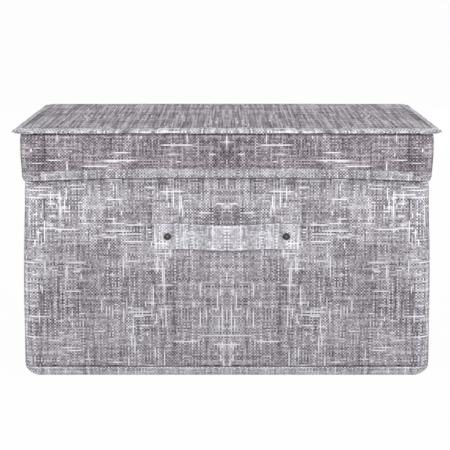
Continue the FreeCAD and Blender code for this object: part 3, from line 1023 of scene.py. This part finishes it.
def lid_height(x, y):
    """The lid's cloth: crowned inside the seam and sloping beyond it."""
    beyond = np.maximum(np.maximum(np.abs(x) - seam_half[0], np.abs(y) - seam_half[1]), 0)
    inside = lid_crown(np.clip(x, -seam_half[0], seam_half[0]), np.clip(y, -seam_half[1], seam_half[1]))
    return lid_linen_top + inside - lip_slope * beyond


def spread(half, count):
    """Places across the lid: even inside the seam, then a few more out to the cloth's tucked edge."""
    beyond = half + np.linspace(0, tucked_in, 5)[1:]
    return np.concatenate([-beyond[::-1], np.linspace(-half, half, count), beyond])


# %% Lid top
lid_x, lid_y = np.meshgrid(spread(seam_half[0], 201), spread(seam_half[1], 151))
lid_points = np.stack([lid_x, lid_y, lid_height(lid_x, lid_y)], -1)
lid_sheet = thicken(grid_mesh("lid_top_linen", lid_points, cloth_map(np.abs(lid_x), lid_y)), linen_thick)
weft_bands = 0.05 * ripple(0.1 * lid_x, lid_y, 60 * mm, 33)
back_bands = 0.06 * bump(lid_y - 73 * mm, 15 * mm) - 0.05 * bump(lid_y - 115 * mm, 20 * mm)
paint_shade(lid_sheet, weft_bands + back_bands)
size = (np.ptp(lid_x), np.ptp(lid_y))
finish(lid_sheet, "lid", "slub_linen", ["lid_top_cover"], lid_linen, flat=size, rests_on=["lid_board"])

# %% [markdown]
# The lip is a tape folded over the cloth's edge. Its profile runs from the lower leaf, out and round
# the nose, to the seam on top, and back inside at the tape's thickness. It is carried round the lid
# with square corners. There the folded cloth is bulky: the ears droop, their tips flick up, and the
# lower leaf ends short of the tips. Under the lip the tape is painted darker, because little light
# comes there.

# %% Lip profile
lip_columns = ring_columns(180, 136, 12)
tape = 0.4 * mm
lip_core_half = (3.2 * mm) / 2
slope_angle = math.atan(lip_slope)
nose_start = lip_reach - lip_core_half * (1 + math.sin(slope_angle) * 0.2)


def closed_tape(path, thickness):
    """A tape from the path of its outer face: out along it, and back inside by its thickness.

    Gives the loop's outward and upward places as columns, and the distance along the tape.
    """
    step = np.gradient(path, axis=0)
    length = np.linalg.norm(step, axis=1, keepdims=True)
    inner = path - np.stack([step[:, 1], -step[:, 0]], 1) / length * thickness
    loop = np.concatenate([path, inner[::-1]])
    down = along_profile(path[:, 0], path[:, 1])
    return loop[:, :1], loop[:, 1:], np.concatenate([down, down[::-1]])


def lip_line(along, depth):
    """A run of the lip: along its slope from the seam, and down into its thickness."""
    out = along * math.cos(slope_angle) - depth * math.sin(slope_angle)
    down = along * math.sin(slope_angle) + depth * math.cos(slope_angle)
    return out, -down


nose_turn = np.linspace(math.pi / 2, -math.pi / 2, 13)[1:-1]
lower_leaf_edge = 4.6 * mm
lower_leaf = np.linspace(lower_leaf_edge, nose_start, 9)
upper_leaf = np.linspace(nose_start, 0.0, 17)
nose_along = nose_start + lip_core_half * np.cos(nose_turn)
nose_depth = lip_core_half + lip_core_half * np.sin(nose_turn)
lip_path = profile(
    lip_line(lower_leaf, 2 * lip_core_half), lip_line(nose_along, nose_depth), lip_line(upper_leaf, 0.0)
)
lip_out, lip_drop, lip_down = closed_tape(lip_path, tape)
lip_around = way_round(lip_columns, seam_half, 0.5 * mm)
from_corner = ((1 - np.abs(lip_columns[0])) * seam_half).max(1)
reach_share = np.clip(lip_out / lip_reach, 0, 1)
at_back = smooth_step(lip_columns[0][:, 1], 0.0, 1.0)
below_slope = -lip_drop - lip_slope * lip_out
lower_leaf_share = smooth_step(below_slope, 1.0 * mm, 2.6 * mm)
on_top = smooth_step(lip_drop, -3.2 * mm, -1.0 * mm)
print("lip reaches", round(lip_reach / mm, 2), "mm out, profile of", len(lip_out), "points")

# %% Lip
droop = -1.5 * mm * bump(from_corner, 18 * mm) * reach_share**2 * (1 - 0.85 * at_back)
droop = droop - 0.4 * mm * bump(from_corner, 12 * mm) * lower_leaf_share * (1 - at_back)
droop = droop - at_back * (0.5 * mm + 0.5 * mm * smooth_step(np.abs(lip_columns[0][:, 0]), 0.4, 1.0))
flick = 4.1 * mm * bump(from_corner, 7.6 * mm) * reach_share**4 * (1 - 0.8 * at_back)
flick = flick * (1 - 0.4 * lower_leaf_share)
pucker = 0.35 * mm * np.cos(from_corner / (1.1 * mm)) * bump(from_corner, 8 * mm) * reach_share
swell = 0.22 * mm * ripple(lip_around, lip_drop * 4, 34 * mm, 71)
swell = swell + 0.1 * mm * ripple(lip_around, lip_drop * 4, 13 * mm, 72)
pinch = -0.35 * mm * bump(lip_out - 0.7 * mm, 1.0 * mm) * on_top
lip_heights = lid_top + lip_drop + droop + flick + pucker + swell * reach_share + pinch
crown_at_seam = 0.3 * mm * np.cos(lip_columns[0][:, 0] * math.pi / 2) * (lip_columns[0][:, 1] < -0.99)
lip_heights = lip_heights + crown_at_seam * (1 - 0.5 * reach_share)
lip_round = 0.5 * mm + 0.09 * np.clip(lip_out, 0, None)
wander = 0.2 * mm * ripple(lip_around, 0.0, 45 * mm, 73) * reach_share
ear_in = (0.4 * mm + 1.3 * mm * bump(from_corner, 9 * mm)) * reach_share * (1 - 0.8 * at_back)
lip_radius = lip_round + wander - ear_in
lip_points = ring_points(lip_columns, seam_half + (lip_out - lip_round), lip_radius, lip_heights)
ear_step = 4.0 * mm * bump(from_corner, 8 * mm) * lower_leaf_share * (1 - 0.8 * at_back)
lip_points[..., :2] -= np.sign(lip_points[..., :2]) * ear_step[..., None]
lip_cloth = cloth_map(lip_around, lip_down[:, None])
lip = grid_mesh("lip_tape", lip_points, lip_cloth, wrap_rows=True, wrap_columns=True)
# Painted shade under the lip, in the seam's groove and towards the nose. A painted highlight covers the
# rest, and the ears are paler.
underneath = smooth_step(below_slope, 2.4 * mm, 3.4 * mm)
nose_shade = 0.07 * smooth_step(lip_out, lip_reach - 3 * mm, lip_reach)
painted_seam_groove_shade = 0.49 * bump(lip_out - 0.3 * mm, 0.5 * mm) * on_top
pale_ear = 0.2 * bump(from_corner, 16 * mm) * (1 - 0.7 * underneath)
paint_shade(lip, 0.45 * underneath + painted_seam_groove_shade + nose_shade - 0.07 * (1 - underneath) - pale_ear)
size = ring_size(lip_around, lip_down)
place = ("lid", "band_linen", ["lid_edge_binding"], lip_linen)
finish(lip, *place, flat=size, held="folded", rests_on=["lid_top_linen"])

# %% [markdown]
# ## Skirt
#
# The skirt hangs from the lip and leans in towards its foot. A thin card stiffens each side but
# stops short of the corners, so a soft upright crease shows where the card ends, and the cloth
# puffs out between there and the corner. Close under the lip the soft corners are drawn in. The
# hem is pulled up by one to two millimetres in the middle of each side and hangs lower at the
# corners. New card strips follow that hem.

# %% Skirt shape
skirt_grid = (156, 116, 12)
skirt_rows = 66
skirt_columns = ring_columns(*skirt_grid)
skirt_split = panel_columns(*skirt_grid)
skirt_around = way_round(skirt_columns, axes, corner_radius)
drawn_in = 1.0 * mm
hem_proud = 0.42 * mm
linen_above_foot = 3 * mm
skirt_foot_out = high_of("skirt_hem")[0] - axes[0] - hem_proud - drawn_in
skirt_top_out = high_of("skirt_right_cover")[0] - axes[0] - drawn_in
lean = (skirt_top_out - skirt_foot_out) / (skirt_top - skirt_foot)
board_end = np.array([high_of("skirt_front_board")[0], high_of("skirt_right_board")[1]])
print("skirt leans out by", round((skirt_top_out - skirt_foot_out) / mm, 2), "mm from foot to top")


def on_its_side(columns, long_side, short_side):
    """The first value at columns of the front and back, and the second at those of the ends."""
    outward = np.abs(columns[1])
    return np.where(outward[:, 1] > outward[:, 0], long_side, short_side)


def along_side(columns):
    """How far each column's axis is from the middle of its side."""
    places = np.abs(columns[0]) * axes
    return on_its_side(columns, places[:, 0], places[:, 1])


# %% Hem line and crease
def hem_rise(columns):
    """How far the hem is pulled up at each column: most in the middle, and down at the corners."""
    outward = np.abs(columns[1])
    half = on_its_side(columns, *axes) + corner_radius
    turned_by = corner_radius * on_its_side(columns, outward[:, 0], outward[:, 1])
    from_middle = np.clip((along_side(columns) + turned_by - 0.375 * half) / (0.625 * half), 0, 1)
    most = on_its_side(columns, 1.95 * mm, 1.2 * mm)
    return most - (most + 2.2 * mm) * from_middle**1.6


def crease_at(columns):
    """Distance from the end of the skirt's card, positive towards the corner."""
    return along_side(columns) - on_its_side(columns, *board_end)


# %% Skirt linen and card
def skirt_out(columns, height, around, seam_distance, seed):
    """How far the skirt's face stands from the axes: leaning, creased, puffed and drawn in on top."""
    share = (height - skirt_foot) / (skirt_top - skirt_foot)
    arched = np.sin(math.pi * np.clip(share, 0, 1))
    fade = arched**0.7
    crease = crease_at(columns)
    valley = -1.3 * mm * bump(crease + 0.5 * mm, 2.6 * mm) * fade
    puff = 0.75 * mm * bump(crease - 10 * mm, 9 * mm) * fade
    small = 0.2 * mm * ripple(around, height * 0.6, 45 * mm, seed) * fade
    nominal = skirt_foot_out + lean * (height - skirt_foot)
    under_lip = smooth_step(height, lid_top - 9.2 * mm, lid_top - 6.4 * mm)
    shoulder = 2.6 * mm * under_lip * bump(seam_distance, 14 * mm)
    return nominal + valley + puff + 0.3 * mm * arched + small - shoulder


def skirt_card(side, columns):
    """A strip of card behind the linen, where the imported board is, down to the raised hem."""
    chosen = crease_at(columns) < 0.005 * mm
    local = part_of(columns, chosen)
    low = skirt_foot + 1.2 * mm + hem_rise(local)
    height = low + np.linspace(0, 1, 5)[:, None] * (lid_underside - low)
    out = skirt_foot_out - 0.62 * mm + lean * (height - skirt_foot)
    points = ring_points(local, axes, out, height)
    made = grid_mesh(f"skirt_{side}_card", points, cloth_map(points[..., 0], points[..., 2]))
    finish(thicken(made, linen_thick), "lid", "grey_board", [f"skirt_{side}_board"], card)


# %% Skirt panels
for number, side in enumerate(SIDES):
    local = part_of(skirt_columns, skirt_split[side])
    around = skirt_around[skirt_split[side]]
    seam_distance, panel_width = from_seam(local, corner_radius)
    share = np.linspace(0, 1, skirt_rows)[:, None]
    low = skirt_foot + linen_above_foot + hem_rise(local)
    height = low + share * (skirt_top - low)
    out = skirt_out(local, height, around, seam_distance, 80 + number)
    points = ring_points(local, axes, out - 0.3 * mm * bump(seam_distance, 1.0 * mm), height)
    panel = grid_mesh(f"skirt_{side}_linen", points, cloth_map(around, height))
    # Painted shade along the crease, a painted highlight near the corners and at the top, and a painted
    # shadow in a thin line under the lip.
    painted_crease_shade = 0.3 * bump(crease_at(local) + 0.5 * mm, 2.4 * mm) * np.sin(math.pi * share) ** 0.7
    painted_corner_highlight = 0.17 * bump(seam_distance, 8 * mm)
    painted_light_at_top = 0.08 * bump(height - skirt_top, 9 * mm)
    under_lip = 0.16 * bump(height - lid_top + 6.2 * mm, 1.4 * mm)
    # A paler line is painted in places just under the lip.
    here = smooth_step(ripple(around, 0.0, 110 * mm, 84), -0.4, -0.1)
    pale_line_under_lip = 0.28 * bump(height - lid_top + 8.4 * mm, 0.8 * mm) * here
    paint_shade(panel, painted_crease_shade - painted_light_at_top - painted_corner_highlight + under_lip - pale_line_under_lip)
    thicken(panel, linen_thick)
    skirt_card(side, local)
    size = (panel_width, skirt_top - skirt_foot - linen_above_foot)
    place = ("lid", "slub_linen", [f"skirt_{side}_cover"], skirt_linen)
    finish(panel, *place, flat=size, rests_on=[f"skirt_{side}_card"])

# %% [markdown]
# The hem is a tape folded round the skirt's lower edge. Its profile goes down the inner side, round
# a half circle and up the outer side, and back inside at the tape's thickness.

# %% Hem
hem_height = hem_top - skirt_foot
hem_full = 2.15 * mm
hem_round = hem_full / 2
hem_fold = np.linspace(math.pi, 2 * math.pi, 11)
hem_inner = np.linspace(hem_height, hem_round, 9)[:-1]
hem_outer = np.linspace(hem_round, hem_height, 15)[1:]
hem_turned = (-hem_round + hem_round * np.cos(hem_fold), hem_round + hem_round * np.sin(hem_fold))
hem_path = profile((-hem_full, hem_inner), hem_turned, (0.0, hem_outer))
hem_in, hem_up, hem_down = closed_tape(hem_path, tape)
outer_side = smooth_step(hem_in, -hem_full * 0.75, -hem_full * 0.25)
hem_z = skirt_foot + hem_up + hem_rise(skirt_columns)
hem_swell = 0.16 * mm * ripple(skirt_around, hem_up * 2, 30 * mm, 91)
hem_valley = -0.45 * mm * bump(crease_at(skirt_columns), 3 * mm) * smooth_step(hem_up, 0, hem_height)
hem_lip = 0.25 * mm * bump(hem_up - hem_height + 0.6 * mm, 0.7 * mm)
near_corner = ((1 - np.abs(skirt_columns[0])) * axes).max(1)
rounded_foot = -0.9 * mm * bump(hem_up, 2.4 * mm) * bump(near_corner, 20 * mm)
hem_out = skirt_foot_out + hem_proud + lean * hem_up + hem_in
hem_out = hem_out + (hem_swell + hem_valley + hem_lip) * outer_side + rounded_foot
hem_points = ring_points(skirt_columns, axes, hem_out, hem_z)
hem_cloth = cloth_map(skirt_around, hem_down[:, None])
hem = grid_mesh("hem_tape", hem_points, hem_cloth, wrap_rows=True, wrap_columns=True)
# Painted shade along the bottom of the fold and on the inner side, and the upper edge darker.
painted_shade_under_fold = 0.7 * np.maximum(bump(hem_up, 0.45 * mm), 1 - outer_side)
top_edge = 0.22 * bump(hem_up - hem_height, 0.6 * mm) * outer_side
paint_shade(hem, np.broadcast_to(painted_shade_under_fold + top_edge, hem_z.shape))
size = ring_size(skirt_around, hem_down)
place = ("lid", "band_linen", ["skirt_hem"], band_linen)
finish(hem, *place, flat=size, held="folded", rests_on=["skirt_front_linen"])

# %% [markdown]
# ## Inside
#
# The inside is lined with felt. The wall linings and the skirt linings are rings of columns seen
# from the other side, so their faces are turned round. The skirt's felt keeps a millimetre behind
# its linen and clear of the walls. The rim is linen turned over the walls.

# %% Felt of the walls and the skirt
felt_thick = 0.3 * mm
inner_grid = (60, 44, 8)
inner_columns = ring_columns(*inner_grid)
inner_split = panel_columns(*inner_grid)
inner_around = way_round(inner_columns, axes, lining_face)
wall_depth = 2.9 * mm
wall_inner = corner_radius - wall_depth
inner_level = np.linspace(band_top, wall_top, 40)[:, None]
skirt_level = np.linspace(skirt_foot + 4.5 * mm, lid_underside, 26)[:, None]
skirt_inner = skirt_foot_out - 1.2 * mm + lean * (skirt_level - skirt_foot)
skirt_felt_height = lid_underside - skirt_foot
felt_behind_linen = 0.9 * mm
felt_clear_of_wall = 0.4 * mm


def felt_wave(around, level, seam_distance, seed):
    """Shallow ripples of the felt, fading out towards the panel's ends."""
    return 0.2 * mm * ripple(around, level, 50 * mm, seed) * np.clip(seam_distance / (20 * mm), 0, 1)


def felt_panel(name, local, around, radius, level, place, size):
    """A felt panel that faces the inside of the box."""
    points = ring_points(local, axes, radius, level)
    made = thicken(grid_mesh(name, points, cloth_map(around, level), inside_out=True), felt_thick)
    finish(made, *place, felt, flat=size)


# %% The eight felt panels
for number, side in enumerate(SIDES):
    local = part_of(inner_columns, inner_split[side])
    around = inner_around[inner_split[side]]
    seam_distance, panel_width = from_seam(local, lining_face)
    radius = wall_inner - felt_wave(around, inner_level, seam_distance, 100 + number)
    place, size = ("box", "lining_cloth", [f"{side}_lining"]), (panel_width, wall_top - band_top)
    felt_panel(f"{side}_wall_felt", local, around, radius, inner_level, place, size)
    local = part_of(skirt_columns, skirt_split[side])
    around = skirt_around[skirt_split[side]]
    seam_distance, panel_width = from_seam(local, lining_face)
    radius = skirt_inner - felt_wave(around, skirt_level, seam_distance, 110 + number)
    linen_out = skirt_out(local, skirt_level, around, seam_distance, 80 + number)
    radius = np.clip(radius, corner_radius + felt_clear_of_wall, linen_out - felt_behind_linen)
    place, size = ("lid", "lining_cloth", [f"skirt_{side}_lining"]), (panel_width, skirt_felt_height)
    felt_panel(f"skirt_{side}_felt", local, around, radius, skirt_level, place, size)

# %% Rim facing
rim_thick = 0.6 * mm
rim_in, rim_centre = wall_inner - rim_thick, rim_top - rim_thick
rim_turn = np.linspace(0, math.pi / 2, 6)
rim_sine, rim_cosine = rim_thick * np.sin(rim_turn), rim_thick * np.cos(rim_turn)
rim_path = profile(
    ([corner_radius], wall_top - 0.1 * mm),
    (corner_radius - rim_thick + rim_cosine, rim_centre + rim_sine),
    (wall_inner - rim_sine, rim_centre + rim_cosine),
    (rim_in, np.linspace(rim_top - 2 * mm, facing_low, 10)),
)
rim_out, rim_rise = rim_path[:, :1], rim_path[:, 1:]
rim_down = along_profile(rim_path[:, 0], rim_path[:, 1])
rim_columns = ring_columns(120, 88, 10)
rim_around = way_round(rim_columns, axes, corner_radius)
rim_wave = 0.1 * mm * ripple(rim_around, rim_down[:, None], 30 * mm, 121) * (rim_rise < rim_top - 1 * mm)
rim_points = ring_points(rim_columns, axes, rim_out - np.abs(rim_wave), rim_rise)
rim_cloth = cloth_map(rim_around, rim_down[:, None])
rim = thicken(grid_mesh("rim_linen", rim_points, rim_cloth, wrap_columns=True), rim_thick)
size = ring_size(rim_around, rim_down)
place = ("box", "band_linen", ["rim_facing"], band_linen)
finish(rim, *place, flat=size, held="folded", rests_on=["front_board"])

# %% [markdown]
# The felt on the bottom is a shallow tray: a flat plate of shrinking outlines, whose edge turns up
# inside the card's round and ends in a small ledge under the wall boards.

# %% Bottom lining
tray_depth = 0.9 * mm
tray_angle = np.linspace(-math.pi / 2, 0, 14)
tray_round = round_radius - tray_depth
tray_top = band_top - 0.1 * mm
tray_path = profile(
    (base_radius + tray_round * np.cos(tray_angle), round_radius + tray_round * np.sin(tray_angle)),
    ([corner_radius - tray_depth, wall_inner], tray_top),
)
tray_down = along_profile(tray_path[:, 0], tray_path[:, 1])
tray_around = way_round(inner_columns, axes, corner_radius)
tray_points = ring_points(inner_columns, axes, tray_path[:, :1], tray_path[:, 1:])
floor_level = low_of("base_board_cover")[2]
inner_share = np.linspace(0.04, 1.0, 24)[:-1, None, None]
inner_flat = inner_share * (inner_columns[0] * axes + inner_columns[1] * base_radius)
inner_points = np.concatenate([inner_flat, np.full((*inner_flat.shape[:2], 1), floor_level)], -1)
tray_cloth = [cloth_map(np.abs(inner_flat[..., 0]), inner_flat[..., 1])]
tray_cloth.append(cloth_map(tray_around, tray_down[:, None]))
all_points = np.concatenate([inner_points, tray_points])
all_cloth = np.concatenate(tray_cloth)
tray = grid_mesh("bottom_felt", all_points, all_cloth, wrap_columns=True, inside_out=True)
close_middle(tray, inner_points[0])
size = tuple(2 * (axes + base_radius + tray_down[-1]))
place = ("box", "lining_cloth", ["bottom_lining"], felt)
finish(thicken(tray, felt_thick), *place, flat=size, held="laid")

# %% [markdown]
# The loose base board is card wrapped in felt. Its cover is one surface: it starts under the board,
# a margin's width in from the edge, goes round the edge and across the top to the middle. The lid's
# felt is a flat plate glued under the lid's board.

# %% Base board cover
board_low = low_of("base_board_cover")[2]
board_high = high_of("base_board_cover")[2]
board_half = high_of("base_board_cover")[:2]
board_corner = 2.3 * mm
turned_under = 20 * mm
edge_round = 1.0 * mm
edge_turn = np.linspace(-math.pi / 2, math.pi / 2, 11)
edge_in = edge_round * (1 - np.cos(edge_turn))
edge_level = np.where(edge_turn < 0, board_low + edge_round, board_high - edge_round)
margin_in = np.linspace(turned_under, edge_round, 6)[:-1]
middle_share = np.linspace(1.0, 0.05, 40)[1:]
inset = np.concatenate([margin_in, edge_in])
cover_rise = np.concatenate(
    [
        np.full_like(margin_in, board_low),
        edge_level + edge_round * np.sin(edge_turn),
        np.full_like(middle_share, board_high),
    ]
)
cover_radius = np.concatenate([np.maximum(board_corner - inset, 0.3 * mm), 1.3 * mm * middle_share])
across_top = (board_half - edge_round) * middle_share[:, None]
cover_half = np.concatenate([board_half - inset[:, None], across_top])
cover_points = ring_points(plate_columns, cover_half - cover_radius[:, None], cover_radius, cover_rise)
top_points = cover_points[-len(middle_share):]
top_points[..., 2] += 0.12 * mm * ripple(top_points[..., 0], top_points[..., 1], 50 * mm, 131)
cover_cloth = cloth_map(np.abs(cover_points[..., 0]), cover_points[..., 1])
base_cover = grid_mesh("base_board_felt", cover_points, cover_cloth, wrap_columns=True)
close_middle(base_cover, cover_points[-1])
size = tuple(2 * (board_half + turned_under))
place = ("base_insert", "lining_cloth", ["base_board_cover"], felt)
finish(thicken(base_cover, felt_thick), *place, flat=size, held="folded", rests_on=["base_board"])

# %% Lid lining
lining_half = high_of("lid_lining")[:2]
lid_felt_thick = 0.24 * mm


def lid_lining_level(x, y):
    """The lid's felt, glued flat with a few shallow ripples."""
    return lid_underside + 0.06 * mm * (1 + ripple(x, y, 50 * mm, 141))


lid_felt = flat_plate("lid_felt", lining_half[0] - axes[0], lid_lining_level, lid_felt_thick)
finish(lid_felt, "lid", "lining_cloth", ["lid_lining"], felt, flat=tuple(2 * lining_half), held="laid")

# %% [markdown]
# ## Stitches
#
# The tapes are held by a row of stitches near their edge. A stitch is a short thread that rises out
# of the cloth, lies on it and dives back in. All stitches of a seam are one mesh: a small tube of a
# few dozen faces, placed again and again along a row of the cloth's own grid.

# %% Stitch rows
stitch_length = 2.6 * mm
stitch_gap = 1.0 * mm
stitch_thick = 0.2 * mm
stitch_rings = np.linspace(-1, 1, 7)
stitch_sides = np.arange(6) / 6 * 2 * math.pi


def unit(vectors):
    """The same directions with length 1."""
    return vectors / np.linalg.norm(vectors, axis=1, keepdims=True)


def stitch_row(name, points, row, body):
    """Small bowed tubes along one row of a cloth grid, standing a little out of the cloth."""
    path = points[row]
    outward = unit(np.cross(np.roll(path, -1, 0) - np.roll(path, 1, 0), points[row + 1] - points[row - 1]))
    path, outward = np.concatenate([path, path[:1]]), np.concatenate([outward, outward[:1]])
    reach = np.concatenate([[0.0], np.cumsum(np.linalg.norm(np.diff(path, axis=0), axis=1))])
    count = int(reach[-1] / (stitch_length + stitch_gap))
    middle = (np.arange(count) + 0.5) * reach[-1] / count

    def at(place, values):
        """Values of the row at distances along it."""
        return np.stack([np.interp(place, reach, values[:, k]) for k in range(3)], -1)

    centre, normal = at(middle, path), at(middle, outward)
    ahead = unit(at(middle + stitch_length / 2, path) - at(middle - stitch_length / 2, path))
    aside = np.cross(normal, ahead)
    thin = stitch_thick * np.sqrt(np.clip(1 - stitch_rings**4, 0.02, 1))[:, None]
    forward = (stitch_rings * stitch_length / 2)[:, None]
    lift = stitch_thick * (0.55 - 1.5 * stitch_rings**4)[:, None]
    shape = sum(
        direction[:, None, None, :] * amount[None, :, :, None]
        for direction, amount in (
            (ahead, forward),
            (normal, lift + thin * np.sin(stitch_sides)),
            (aside, thin * np.cos(stitch_sides)),
        )
    )
    shape = shape + centre[:, None, None, :]
    ids = np.arange(shape.size // 3).reshape(shape.shape[:3])
    next_ids = np.roll(ids, -1, 2)
    quads = np.stack([ids[:, :-1], next_ids[:, :-1], next_ids[:, 1:], ids[:, 1:]], -1).reshape(-1, 4)
    ends = np.concatenate([ids[:, 0, ::-1], ids[:, -1]])
    mesh = bpy.data.meshes.new(name)
    mesh.from_pydata(shape.reshape(-1, 3).tolist(), [], quads.tolist() + ends.tolist())
    mesh.polygons.foreach_set("use_smooth", np.ones(len(mesh.polygons), bool))
    finish(place_in_scene(name, mesh), body, "band_linen", [], thread)


# %% Stitches of the lip, the hem and the bottom seam
def row_near(places, wanted, first=0, last=None):
    """The row whose place is nearest to the wanted one, among those from first up to last."""
    return first + int(np.argmin(np.abs(places[first:last, 0] - wanted)))


upper_leaf_first = len(lower_leaf) + len(nose_turn)
lip_row = row_near(lip_out, 2.0 * mm, upper_leaf_first, len(lip_path))
stitch_row("lip_stitches", lip_points, lip_row, "lid")
outer_side_first = len(hem_inner) + len(hem_fold)
hem_row = row_near(hem_up, hem_height - 1.6 * mm, outer_side_first, len(hem_path))
stitch_row("hem_stitches", hem_points, hem_row, "lid")
stitch_row("band_stitches", band_points, row_near(from_top, 2.0 * mm), "box")

# %% [markdown]
# ## Last update
#
# The scene is brought up to date at the end. The dressed box has to stay inside the imported one,
# apart from what cloth may stand proud.

bpy.context.view_layer.update()
